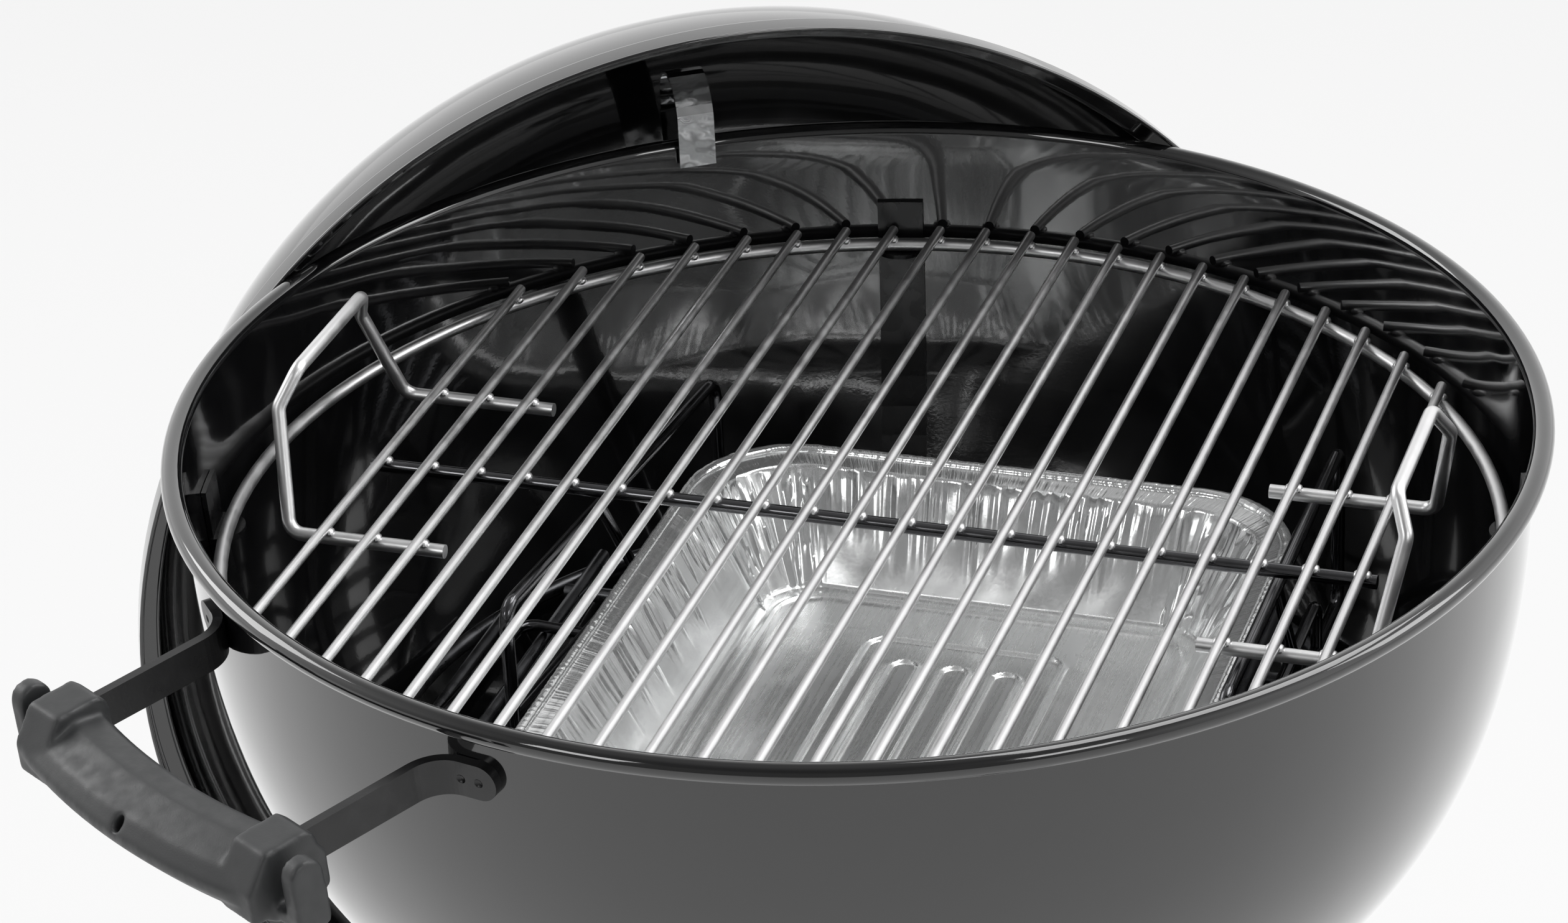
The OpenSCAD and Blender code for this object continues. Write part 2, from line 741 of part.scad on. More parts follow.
bolt_r = 3;
post_r = 11;
shield_up = 9;
shield_t = 1.2;
lid_top = skirt_h + curve_d(dome_r, dome_d, lid_curve, lid_grip_span / 2);

module bolt_places() {
    for (s = [-1, 1]) translate([s * lid_grip_span / 2, 0, lid_top]) children();
}

// The lid's handle: two posts on the dome and a round bar across them
module lid_grip() {
    bar_z = lid_h + lid_grip_rise - lid_grip_r;
    color("dimgray") hung() difference() {
        union() {
            translate([0, 0, bar_z]) rotate([0, 90, 0])
                cylinder(h = lid_grip_span, r = lid_grip_r, center = true);
            for (s = [-1, 1]) translate([s * lid_grip_span / 2, 0, 0]) {
                translate([0, 0, lid_top - 4]) cylinder(h = bar_z - lid_top + 4, r = post_r);
                translate([0, 0, bar_z]) sphere(r = lid_grip_r);
            }
        }
        dome_space();
        bolt_places() translate([0, 0, -20]) cylinder(h = 36, r = bolt_r);
        shield_plate();
    }
}

// The flat of the heat shield, whose ends sit in slots in the handle's posts
module shield_plate() {
    translate([0, 0, lid_h + shield_up])
        cube([lid_grip_span - 2 * post_r + 6, 58, shield_t], center = true);
}

module lid_heat_shield() {
    color("silver") hung() {
        shield_plate();
        for (s = [-1, 1]) translate([0, s * 29, lid_h + shield_up]) rotate([-s * 30, 0, 0])
            translate([0, s * 6, 0]) cube([lid_grip_span - 2 * post_r, 12, shield_t], center = true);
    }
}

// The bolts go up through the dome into the handle's posts, with their heads inside the lid
module lid_bolts() {
    head_z = -sheet - 0.7;
    color("silver") hung() bolt_places() {
        translate([0, 0, head_z]) cylinder(h = 15, r = bolt_r - 0.01);
        difference() {
            translate([0, 0, head_z - 4]) cylinder(h = 4, r = 5.5);
            translate([0, 0, head_z - 5]) cylinder(h = 3.4, r = 3, $fn = 6);
        }
    }
}

// Side handle: the middle of an arm's bend and the angle at which its flange starts
seat_r = wall_out + arm_t / 2 - 0.4;
flange_angle = asin((arm_span / 2 + arm_bend) / (seat_r + arm_bend));
flange_tip = flange_angle + arm_h / 2 / seat_r * 180 / PI;

// The arms' outline from above, with the grip towards +X
module arm_bar() {
    mid = [(seat_r + arm_bend) * cos(flange_angle), arm_span / 2 + arm_bend];
    path = concat([[arm_end, arm_span / 2]], arc(mid, arm_bend, 270, 180 + flange_angle, 10),
        [for (i = [1:3]) let (a = flange_angle + (flange_tip - flange_angle) * i / 3)
        seat_r * [cos(a), sin(a)]]);
    translate([0, 0, arm_z]) linear_extrude(height = arm_h) polygon(strip(path, arm_t));
}

// Places the side handle, built level along +X, and slopes it down from the bowl's wall
module handle_place() {
    rotate(side_angle) translate([seat_r, 0, arm_mid_z]) rotate([0, arm_tilt, 0])
        translate([-seat_r, 0, -arm_mid_z]) children();
}

module handle_arm(side) {
    color("dimgray") difference() {
        handle_place() mirror([0, side < 0 ? 1 : 0, 0]) difference() {
            union() {
                arm_bar();
                rotate(flange_tip) intersection() {
                    cylinder(h = rim_h, r = seat_r + arm_t / 2);
                    translate([wall_out - 4, 0, arm_mid_z]) rotate([0, 90, 0])
                        cylinder(h = 4 + 2 * arm_t, r = arm_h / 2);
                }
            }
            for (a = [flange_tip, flange_tip - 1.6]) rotate(a)
                translate([seat_r + arm_t / 2 + 1.4, 0, arm_mid_z]) sphere(r = 2.4);
        }
        bowl_space();
    }
}

module handle_arm_left() {
    handle_arm(-1);
}

module handle_arm_right() {
    handle_arm(1);
}

// A moulded grip with saddles over the arms and an upright tool hook at each end
module side_grip() {
    color("dimgray") handle_place() difference() {
        union() {
            intersection() {
                translate([grip_front - grip_bow, 0, grip_z]) rotate_extrude()
                    translate([grip_bow - grip_t, 0]) grip_section();
                translate([grip_rear - 40, -grip_l / 2, grip_z]) cube([grip_t + 50, grip_l, grip_h]);
            }
            for (s = [-1, 1]) mirror([0, s < 0 ? 1 : 0, 0]) {
                grip_saddle();
                tool_hook();
            }
        }
        for (s = [-1, 1]) mirror([0, s < 0 ? 1 : 0, 0]) {
            arm_bar();
            screw_place() {
                cylinder(h = 3, r = 4.5);
                cylinder(h = grip_h, r = 1.5);
            }
        }
        translate([grip_front - 3, 0, grip_z + 18]) rotate([0, 45, 0])
            linear_extrude(height = 14, center = true) {
                for (s = [-1, 1]) translate([1.4 * s, 0]) circle(r = 2.2);
                square([2.8, 4.4], center = true);
            }
    }
}

// The grip cut across: a hollowed back, a crest along the top and a front sloping forwards
module grip_section() {
    polygon([[5, 0], [grip_t - 10, 0], [grip_t - 6, 3], [grip_t, 11], [grip_t, 15], [grip_t - 6, grip_h - 5],
        [14, grip_h], [3, grip_h - 2], [0, grip_h - 6], [0, 5]]);
}

// A raised block around an arm's end
module grip_saddle() {
    back = grip_rear - saddle_back;
    top = grip_z + grip_h + saddle_up;
    translate([0, arm_span / 2 + saddle_w / 2, 0]) rotate([90, 0, 0]) linear_extrude(height = saddle_w)
        polygon([[back, grip_z + 3], [back, top - 4], [back + 4, top], [grip_front - 18, top],
            [grip_front - 8, grip_z + 17], [grip_front - 8, grip_z + 4]]);
}

module tool_hook() {
    x = grip_front - 25;
    y = grip_l / 2 + hook_tab_gap;
    tab_h = grip_h + saddle_up;
    translate([x - hook_tab_w / 2, grip_l / 2 - 6, grip_z + 2])
        cube([hook_tab_w, hook_tab_gap + 6 + hook_tab_t / 2, 7]);
    translate([x, y + hook_tab_t, grip_z]) rotate([90, 0, 0]) linear_extrude(height = hook_tab_t) {
        translate([-hook_tab_w / 2, 4]) square([hook_tab_w, tab_h - 4 - hook_tab_w / 2]);
        translate([-hook_tab_w / 2 + 4, 0]) square([hook_tab_w - 8, 8]);
        for (s = [-1, 1]) translate([s * (hook_tab_w / 2 - 4), 4]) circle(r = 4);
        translate([0, tab_h - hook_tab_w / 2]) circle(d = hook_tab_w);
    }
}

module screw_place() {
    translate([grip_rear + 6, arm_span / 2, grip_z]) children();
}

// A screw from below into each arm
module grip_screws() {
    color("silver") handle_place() for (s = [-1, 1]) mirror([0, s < 0 ? 1 : 0, 0]) screw_place()
        difference() {
            union() {
                translate([0, 0, 1]) cylinder(h = 2, r = 4);
                translate([0, 0, 1]) cylinder(h = arm_z - grip_z - 1, r = 1.5);
            }
            translate([-3, -0.5, 0]) cube([6, 1, 1.8]);
        }
}

// Places its children on a leg's middle line with their z axis along the leg, from the ground up
module leg_place(a) {
    rotate(a) translate([foot_r, 0, 0]) rotate([0, -leg_lean, 0]) children();
}

function up_leg(z) = z / cos(leg_lean);

// The space that a leg fills
module leg_space(a, grow) {
    leg_place(a) cylinder(h = up_leg(bottom_z + 60), r = leg_r + grow);
}

module leg_tube(a, low) {
    leg_place(a) difference() {
        translate([0, 0, up_leg(low)])
            cylinder(h = up_leg(bottom_z + leg_plug - low), r = leg_r);
        translate([0, 0, up_leg(low) - over]) cylinder(h = up_leg(rim_h), r = leg_r - leg_wall);
    }
}

// Short tubes welded under the bowl, which the legs plug into
module leg_sockets() {
    color("dimgray") for (a = leg_angles) difference() {
        leg_place(a) translate([0, 0, up_leg(bottom_z - socket_low)])
            cylinder(h = up_leg(socket_low + 70), r = leg_r + socket_wall);
        leg_space(a, 0);
        leg_place(a) translate([0, 0, up_leg(bottom_z)]) cylinder(h = 200, r = leg_r);
        bowl_space();
    }
}

module front_leg() {
    color("silver") leg_tube(leg_angles[0], leg_low);
}

module wheel_leg_left() {
    color("silver") difference() {
        leg_tube(leg_angles[1], axle_h - 24);
        axle_place() cylinder(h = 2 * axle_end, r = axle_r, center = true);
    }
}

module wheel_leg_right() {
    color("silver") difference() {
        leg_tube(leg_angles[2], axle_h - 24);
        axle_place() cylinder(h = 2 * axle_end, r = axle_r, center = true);
    }
}

module foot_cap() {
    color("dimgray") difference() {
        rotate(leg_angles[0]) translate([foot_r - cap_h / 2 * leg_slope, 0, 0]) {
            cylinder(h = cap_h, r = cap_r);
            cylinder(h = 6, r1 = cap_r + 2, r2 = cap_r);
        }
        leg_place(leg_angles[0]) translate([0, 0, up_leg(leg_low)]) cylinder(h = 100, r = leg_r);
    }
}

// Places its children at the axle's middle, with their z axis along the axle
module axle_place() {
    rotate(leg_angle - 180) translate([axle_out, 0, axle_h]) rotate([-90, 0, 0]) children();
}

module axle() {
    collar = 2.5;
    color("silver") axle_place() {
        cylinder(h = 2 * axle_end, r = axle_r, center = true);
        for (s = [-1, 1]) translate([0, 0, s * (wheel_mid - hub_l / 2 - rest_gap - collar / 2)])
            cylinder(h = collar, r = axle_r + 3, center = true);
    }
}

// A moulded wheel: hub, web with six round holes and a tread with soft edges
module wheel(side) {
    tread = 9;
    web = 4;
    round_edge = 5;
    color("dimgray") axle_place() translate([0, 0, side * wheel_mid]) difference() {
        rotate_extrude() union() {
            translate([axle_r + run_fit, -hub_l / 2]) square([hub_r - axle_r, hub_l]);
            translate([axle_r + 4, -web]) square([wheel_r - axle_r - 9, 2 * web]);
            translate([wheel_r - tread, -wheel_w / 2]) square([tread - round_edge, wheel_w]);
            translate([wheel_r - tread, -wheel_w / 2 + round_edge])
                square([tread, wheel_w - 2 * round_edge]);
            for (s = [-1, 1]) translate([wheel_r - round_edge, s * (wheel_w / 2 - round_edge)])
                intersection() {
                    circle(r = round_edge);
                    translate([0, -round_edge]) square(2 * round_edge);
                }
        }
        for (a = [0:60:300]) rotate(a) translate([(hub_r + wheel_r - tread) / 2, 0, -wheel_w])
            cylinder(h = 2 * wheel_w, r = 13);
    }
}

module wheel_left() {
    wheel(1);
}

module wheel_right() {
    wheel(-1);
}

module hub_cap(side) {
    cap = 9;
    color("silver") axle_place() mirror([0, 0, side < 0 ? 1 : 0])
        translate([0, 0, wheel_mid + hub_l / 2 + rest_gap]) difference() {
            rotate_extrude() polygon([[0, 0], [13, 0], [13, cap - 4], [10, cap - 1], [6, cap], [0, cap]]);
            translate([0, 0, -over]) cylinder(h = 6 - rest_gap + over, r = axle_r);
        }
}

module hub_cap_left() {
    hub_cap(1);
}

module hub_cap_right() {
    hub_cap(-1);
}

// Bottom rack: a wire ring with wires across it, held to the legs by three collars
rack_wire = 3;
rack_cross = 2.5;
rack_r = leg_radius(rack_h) - leg_r - 11;

module rack_ring() {
    color("silver") translate([0, 0, rack_h]) ring(rack_r, rack_wire);
}

module rack_wires() {
    count = floor((rack_r - 12) / rack_pitch);
    color("silver") for (i = [-count:count]) {
        x = i * rack_pitch;
        half = sqrt(pow(rack_r + rack_wire, 2) - pow(abs(x) + rack_cross, 2));
        translate([x, 0, rack_h + rack_wire + rack_cross - weld]) rotate([90, 0, 0])
            cylinder(h = 2 * half, r = rack_cross, center = true);
    }
}

module rack_clips() {
    tab = 2.5;
    top = rack_h - rack_wire + weld;
    color("silver") for (a = leg_angles) difference() {
        union() {
            leg_place(a) translate([0, 0, up_leg(top - 12)]) cylinder(h = 14, r = leg_r + 2);
            rotate(a) translate([rack_r - 9, -10, top - tab])
                cube([leg_radius(rack_h) - rack_r + 9, 20, tab]);
        }
        leg_space(a, 0);
    }
}

ash_in = ash_r - ash_lip;

// A dish with a flat lip and a rolled edge
module ash_catcher() {
    color("silver") translate([0, 0, ash_z]) {
        mirror([0, 0, 1]) rotate_extrude() polygon(band(ash_in, ash_d, 2.4, ash_wall));
        rotate_extrude() translate([ash_in - ash_wall, -ash_wall]) square([ash_lip + ash_wall, ash_wall]);
        ring(ash_r, ash_bead);
    }
}

// A frame of flat bars on the legs. The ash catcher's edge rests on it and slides out along it
module ash_frame() {
    bar_t = 2.5;
    bar_w = 12;
    inner = ash_r - 8;
    back = ash_r + 6;
    z = ash_z - ash_bead - rest_gap - bar_t;
    leg = leg_radius(z);
    leg_x = leg * cos(60);
    leg_y = leg * sin(60);
    color("silver") difference() {
        rotate(leg_angle + 60) translate([0, 0, z]) {
            for (s = [-1, 1]) mirror([0, s < 0 ? 1 : 0, 0]) {
                translate([-back, inner, 0]) cube([back + leg_x + 10, bar_w, bar_t]);
                translate([leg_x - 12, inner, 0]) cube([22, leg_y - inner, bar_t]);
            }
            translate([-back - bar_w, -inner - bar_w, 0]) cube([bar_w, 2 * (inner + bar_w), bar_t]);
            translate([-leg, -10, 0]) cube([leg - inner, 20, bar_t]);
        }
        for (a = leg_angles) leg_space(a, 0);
    }
}

// Damper blades that sweep the bowl's bottom and cover its air slots
module damper_blades() {
    gap = 0.5;
    color("silver") difference() {
        union() {
            for (a = [60, 180, 300]) rotate(a - blade_angle / 2) intersection() {
                bowl_layer(gap, blade_t, blade_angle);
                cylinder(h = rim_h, r = blade_out);
            }
            intersection() {
                bowl_layer(gap, blade_t, 360);
                cylinder(h = rim_h, r = 26);
            }
        }
        cylinder(h = rim_h, r = shaft_r);
    }
}

module damper_shaft() {
    top = bottom_z + sheet + 0.5 + blade_t;
    color("silver") {
        translate([0, 0, lever_z - 8]) cylinder(h = top - lever_z + 8 + over, r = shaft_r);
        translate([0, 0, top + 0.15]) cylinder(h = 3.5, r1 = shaft_head, r2 = shaft_head - 2);
    }
}

module damper_lever() {
    color("silver") translate([0, 0, lever_z]) rotate(lever_angle) difference() {
        linear_extrude(height = lever_t) {
            circle(r = 16);
            translate([0, -lever_w / 2]) square([lever_l, lever_w]);
            translate([lever_l, 0]) circle(d = lever_w);
        }
        translate([0, 0, -over]) cylinder(h = 10, r = shaft_r);
    }
}

// A sleeve moulded around the lever's end
module damper_grip() {
    side = 3;
    color("dimgray") translate([0, 0, lever_z + lever_t / 2]) rotate(lever_angle) difference() {
        translate([0, 0, -lever_t / 2 - side]) linear_extrude(height = lever_t + 2 * side) {
            translate([lever_l - 42, -lever_w / 2 - side]) square([42, lever_w + 2 * side]);
            translate([lever_l, 0]) circle(d = lever_w + 2 * side);
        }
        translate([0, 0, -lever_t / 2]) linear_extrude(height = lever_t) {
            translate([0, -lever_w / 2]) square([lever_l, lever_w]);
            translate([lever_l, 0]) circle(d = lever_w);
        }
    }
}

module damper_nut() {
    color("silver") translate([0, 0, lever_z - 6]) difference() {
        cylinder(h = 6, r = 9, $fn = 6);
        translate([0, 0, -over]) cylinder(h = 10, r = shaft_r);
    }
}

bowl();
support_straps();
cooking_ring();
cooking_rods();
cooking_cross_bar();
cooking_handle_left();
cooking_handle_right();
coal_ring();
coal_rods();
coal_cross_bars();
coal_rail_left();
coal_rail_right();
drip_pan();
lid_shell();
lid_hook();
lid_grip();
lid_heat_shield();
lid_bolts();
vent_disc();
vent_rivet();
handle_arm_left();
handle_arm_right();
side_grip();
grip_screws();
leg_sockets();
front_leg();
wheel_leg_left();
wheel_leg_right();
foot_cap();
axle();
wheel_left();
wheel_right();
hub_cap_left();
hub_cap_right();
rack_ring();
rack_wires();
rack_clips();
ash_catcher();
ash_frame();
damper_blades();
damper_shaft();
damper_lever();
damper_grip();
damper_nut();
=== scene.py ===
"""Looks of a kettle charcoal grill that stands open with its lid hung on the rim.

Lengths are written in millimetres and turned to metres by MM. Angles around the bowl are in
degrees, anticlockwise from +X. The grate's rods run along Y.
"""
import math

import bmesh
import bpy
from mathutils import Matrix, Quaternion, Vector, noise


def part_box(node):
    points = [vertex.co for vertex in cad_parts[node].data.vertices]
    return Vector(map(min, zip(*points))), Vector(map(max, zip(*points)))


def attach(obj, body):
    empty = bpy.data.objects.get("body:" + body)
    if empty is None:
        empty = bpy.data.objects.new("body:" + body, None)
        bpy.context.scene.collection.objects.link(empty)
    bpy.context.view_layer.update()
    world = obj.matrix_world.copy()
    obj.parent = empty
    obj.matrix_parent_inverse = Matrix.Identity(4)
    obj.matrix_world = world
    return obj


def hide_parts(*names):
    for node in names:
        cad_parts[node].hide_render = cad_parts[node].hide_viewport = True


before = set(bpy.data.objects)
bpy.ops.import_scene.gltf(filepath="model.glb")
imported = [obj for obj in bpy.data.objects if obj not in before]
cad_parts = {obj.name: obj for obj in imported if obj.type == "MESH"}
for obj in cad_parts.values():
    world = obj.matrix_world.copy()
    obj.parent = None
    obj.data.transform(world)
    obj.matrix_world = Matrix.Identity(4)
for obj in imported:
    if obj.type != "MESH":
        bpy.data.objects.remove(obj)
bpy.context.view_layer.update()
scene = bpy.context.scene
MM = 0.001

# Sizes that the solids are built from
BOWL_LOW, BOWL_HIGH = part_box("bowl")
RIM_H = BOWL_HIGH.z / MM
RIM_R = BOWL_HIGH.x / MM
BEAD_R = 4.5
SHEET = 1.2
MOUTH_R = RIM_R - 2 * BEAD_R
WALL_R = MOUTH_R + SHEET
BOWL_CURVE = 2.7
BEAD_Z = RIM_H - BEAD_R
BOWL_DEPTH = BEAD_Z - BOWL_LOW.z / MM
SHAFT_HOLE = 5.05
ROD_Z = RIM_H - 51
ROD_R = 2.2
WIRE_R = 3
WIRE_Z = ROD_Z - ROD_R - WIRE_R + 0.1
ROD_PITCH = 21.3
RODS_SIDE = 10
BAR_HALF = 219
LID_H = 185
SKIRT_H = 13
LID_CURVE = 2.2
SKIRT_IN = RIM_R + 0.3
HEM_R = 1
SHOULDER_ROOT = 1.8
SHOULDER_EDGE = 2.4
SHOULDER_EDGE_IN = 1.4
SHOULDER_ROOT_IN = 2.2
HANG_ANGLE = 122.6
HANG_OUT = 208.15
HANG_Z = RIM_H - 200
HANG_LEAN = 3.1
VENT_OUT = 140
AIR_R = 9
AIR_OUT = 24
SLOT_R = 13
SLOT_OUT = 73
SLOT_STRETCH = 24
HANDLE_IN = 160
HANDLE_OUT = 230
HANDLE_SIDE = 65

# The foil pan. Its curl and walls are placed by their distance in from its edge.
FOIL = 0.25
CURL_IN = 2.2
CURL_R = 2.1
CURL_END = 4.5
CURL_RIPPLE = 0.35
LIP_RIPPLE = 0.14
WALL_TOP = 12.2
WALL_LOW = 38.5
LEDGE_DROP = 3.6
PAN_CORNER = 48
FLOOR_LIFT = 0.35

# The pattern stamped on the pan's floor, and the spacing of the floor's grid lines
FRAME_WIDTH = 90
FRAME_LENGTH = 188
FRAME_CORNER = 9
RIB_PITCH = 23
RIB_HALF = 70
RIB_R = 6.5
GRID_FINE = 0.8
GRID_COARSE = 5

# Keeps the floor clear of the walls in the foil's UV map
PANEL_UV = 400

# Distances in along the foil: over the first two its crimps fade out, and over the last two
# it turns duller
CRIMPS_FADE = 19
CRIMPS_END = 40
DULL_START = 50
DULL_END = 80

# Brushed rings on the spun sheet, to each millimetre
RINGS_PER_MM = 0.9

# Faces that meet at more than this angle, in degrees, keep a sharp edge between them
SHARP = 35


def turn(axis, degrees):
    return Matrix.Rotation(math.radians(degrees), 4, axis)


def shift(x, y, z):
    return Matrix.Translation(Vector((x, y, z)) * MM)


# Places the lid, made with its rim at z = 0 and its dome upwards, as it hangs on the bowl
HUNG = (
    shift(
        HANG_OUT * math.cos(math.radians(HANG_ANGLE)),
        HANG_OUT * math.sin(math.radians(HANG_ANGLE)),
        HANG_Z,
    )
    @ turn("Z", HANG_ANGLE + 90)
    @ turn("X", 90 - HANG_LEAN)
)

# ---------------------------------------------------------------- materials

# Real draw marks, rolling streaks and moulding grain are too fine to show in a render of the
# whole grill, so they are drawn coarser here.


def linear(colour):
    """An sRGB hex colour as linear values, with full alpha."""
    parts = [int(colour[i : i + 2], 16) / 255 for i in (1, 3, 5)]
    return [p / 12.92 if p <= 0.04045 else ((p + 0.055) / 1.055) ** 2.4 for p in parts] + [1]


def add(tree, kind, links=None, **settings):
    """Adds a node with its settings. A link is given as socket: value, or socket: output."""
    made = tree.nodes.new(kind)
    for name, value in settings.items():
        setattr(made, name, value)
    for name, value in (links or {}).items():
        if isinstance(value, bpy.types.NodeSocket):
            tree.links.new(value, made.inputs[name])
        else:
            made.inputs[name].default_value = value
    return made


def surface(name, colour, roughness, metallic=0.0, **sockets):
    """A material with one Principled shader, whose even values are set on its own sockets."""
    made = bpy.data.materials.new(name)
    made.use_nodes = True
    tree = made.node_tree
    shader = tree.nodes["Principled BSDF"]
    shader.inputs["Base Color"].default_value = linear(colour)
    shader.inputs["Roughness"].default_value = roughness
    shader.inputs["Metallic"].default_value = metallic
    for socket, value in sockets.items():
        shader.inputs[socket.replace("_", " ")].default_value = value
    return made, tree, shader


def grain(tree, size, stretch=(1, 1, 1), detail=2.0, where=None):
    """An uneven pattern whose features are about size millimetres across, and longer along
    an axis whose stretch is below 1. It lies in Object coordinates unless where is given."""
    where = where or add(tree, "ShaderNodeTexCoord").outputs["Object"]
    mapped = add(tree, "ShaderNodeMapping", {"Vector": where, "Scale": stretch})
    links = {"Vector": mapped.outputs["Vector"], "Scale": 1 / (size * MM), "Detail": detail}
    return add(tree, "ShaderNodeTexNoise", links).outputs["Fac"]


def uneven(tree, shader, bumps, gloss=None, tint=None):
    """Makes a finish uneven. Bumps are (pattern, depth in millimetres), each laid on the one
    before. Gloss is (pattern, roughness, roughness) and tint is (pattern, colour, colour)."""
    normal = None
    for pattern, depth in bumps:
        links = {"Height": pattern, "Distance": depth * MM, "Strength": 1.0}
        if normal is not None:
            links["Normal"] = normal
        normal = add(tree, "ShaderNodeBump", links).outputs["Normal"]
    tree.links.new(normal, shader.inputs["Normal"])
    if gloss:
        pattern, low, high = gloss
        links = {"Value": pattern, "From Min": 0.3, "From Max": 0.7, "To Min": low, "To Max": high}
        varied = add(tree, "ShaderNodeMapRange", links).outputs["Result"]
        tree.links.new(varied, shader.inputs["Roughness"])
    if tint:
        pattern, first, second = tint
        links = {"Factor": pattern, "A": linear(first), "B": linear(second)}
        mixed = add(tree, "ShaderNodeMix", links, data_type="RGBA").outputs["Result"]
        tree.links.new(mixed, shader.inputs["Base Color"])
    return normal


def porcelain_enamel():
    """Black glass enamel, sprayed and fired in two coats on pressed steel. It is a mirror-like
    black with a slow wave from the sheet under it and a fine orange peel."""
    made, tree, shader = surface(
        "porcelain_enamel",
        "#0e0e0f",
        0.08,
        IOR=1.6,
        Specular_IOR_Level=0.3,
        Coat_Weight=1.0,
        Coat_IOR=1.6,
        Coat_Roughness=0.03,
    )
    peel = uneven(
        tree,
        shader,
        bumps=[(grain(tree, 55, detail=1), 0.3), (grain(tree, 1.6), 0.004)],
        gloss=(grain(tree, 30), 0.05, 0.13),
        tint=(grain(tree, 12), "#0b0b0c", "#131314"),
    )
    tree.links.new(peel, shader.inputs["Coat Normal"])
    return made


def strap_enamel():
    """Thin black enamel on flat spring steel, duller than on the bowl."""
    made, tree, shader = surface("enamelled_strap", "#0c0c0d", 0.26, IOR=1.5)
    uneven(
        tree,
        shader,
        bumps=[(grain(tree, 2.4), 0.012)],
        gloss=(grain(tree, 11), 0.2, 0.34),
        tint=(grain(tree, 10), "#09090a", "#111112"),
    )
    return made


def bright_wire():
    """Drawn steel wire with satin nickel plate. It has a broad soft shine across the wire and
    faint draw marks along it."""
    made, tree, shader = surface("satin_nickel_wire", "#e2e2e2", 0.38, 1.0)
    uneven(
        tree,
        shader,
        bumps=[(grain(tree, 0.7, (1, 0.03, 1)), 0.01)],
        gloss=(grain(tree, 9), 0.34, 0.44),
        tint=(grain(tree, 20), "#dadadb", "#ececec"),
    )
    return made


def steel_wire():
    """Plain drawn steel rod, duller and darker than plate, with an oil film and mill marks."""
    made, tree, shader = surface("drawn_steel_rod", "#86878a", 0.3, 1.0)
    uneven(
        tree,
        shader,
        bumps=[(grain(tree, 1.1, (1, 0.04, 1)), 0.015)],
        gloss=(grain(tree, 14), 0.22, 0.4),
        tint=(grain(tree, 25), "#737477", "#98999c"),
    )
    return made


def rail_wire_with_painted_shade():
    """Bent wire with a darker bright plate, its colour lowered further as painted shade standing
    in for the dark bowl that the cross bar and the rails mirror.
    """
    made, tree, shader = surface("dark_plate_with_painted_shade", "#606062", 0.16, 1.0)
    uneven(
        tree,
        shader,
        bumps=[(grain(tree, 0.9), 0.006)],
        gloss=(grain(tree, 12), 0.1, 0.22),
        tint=(grain(tree, 18), "#545456", "#6e6e70"),
    )
    return made


def rolled_foil():
    """Rolled aluminium foil pressed into a pan. It is bright, with rolling streaks along the
    pan, soft dents and fine crimps around the edge. Y in its UV map runs inwards from the
    edge: the crimps fade out down the wall, and the lower wall and the floor are duller."""
    made, tree, shader = surface("rolled_aluminium_foil", "#f2f3f3", 0.2, 0.8)
    streaks = grain(tree, 1.4, (1, 0.02, 1), detail=3)
    around = add(tree, "ShaderNodeUVMap", uv_map="around").outputs["UV"]
    inward = add(tree, "ShaderNodeSeparateXYZ", {"Vector": around}).outputs["Y"]
    edge = add(
        tree,
        "ShaderNodeMapRange",
        {
            "Value": inward,
            "From Min": CRIMPS_FADE * MM,
            "From Max": CRIMPS_END * MM,
            "To Min": 1.0,
            "To Max": 0.0,
        },
    ).outputs["Result"]
    crimps = add(
        tree,
        "ShaderNodeMath",
        {0: grain(tree, 1.2, (1, 0.05, 1), detail=1, where=around), 1: edge},
        operation="MULTIPLY",
    ).outputs["Value"]
    dulling = add(
        tree,
        "ShaderNodeMapRange",
        {
            "Value": inward,
            "From Min": DULL_START * MM,
            "From Max": DULL_END * MM,
            "To Min": 0.14,
            "To Max": 0.26,
        },
    ).outputs["Result"]
    streaked = add(
        tree,
        "ShaderNodeMapRange",
        {"Value": streaks, "From Min": 0.3, "From Max": 0.7, "To Min": 0.85, "To Max": 1.25},
    ).outputs["Result"]
    gloss = add(
        tree, "ShaderNodeMath", {0: streaked, 1: dulling}, operation="MULTIPLY"
    ).outputs["Value"]
    tree.links.new(gloss, shader.inputs["Roughness"])
    uneven(
        tree,
        shader,
        bumps=[(grain(tree, 18, detail=1), 0.3), (streaks, 0.012), (crimps, 0.12)],
        tint=(grain(tree, 22), "#eeefef", "#f6f7f7"),
    )
    return made


def chrome():
    """Polished chrome plate on a bent steel strap. It mirrors the room, bent by shallow dents
    from the press."""
    made, tree, shader = surface("polished_chrome", "#d4d5d6", 0.05, 1.0)
    uneven(
        tree,
        shader,
        bumps=[(grain(tree, 10, detail=1), 0.3)],
        gloss=(grain(tree, 5), 0.035, 0.09),
    )
    return made


def moulded_nylon():
    """Glass-filled nylon from a spark-eroded mould. It is a dark grey with a fine even grain
    and a soft wide sheen."""
    made, tree, shader = surface("moulded_glass_nylon", "#343536", 0.46, IOR=1.53)
    uneven(
        tree,
        shader,
        bumps=[(grain(tree, 0.7, detail=1), 0.035), (grain(tree, 30), 0.25)],
        gloss=(grain(tree, 6), 0.38, 0.54),
        tint=(grain(tree, 11), "#2f3031", "#3b3c3d"),
    )
    return made


def powder_coat():
    """Black powder coat on flat steel bar, a satin film with a slight orange peel."""
    made, tree, shader = surface("black_powder_coat", "#161617", 0.3, IOR=1.5)
    uneven(
        tree,
        shader,
        bumps=[(grain(tree, 1.6), 0.03)],
        gloss=(grain(tree, 9), 0.24, 0.38),
        tint=(grain(tree, 16), "#121213", "#1c1c1d"),
    )
    return made


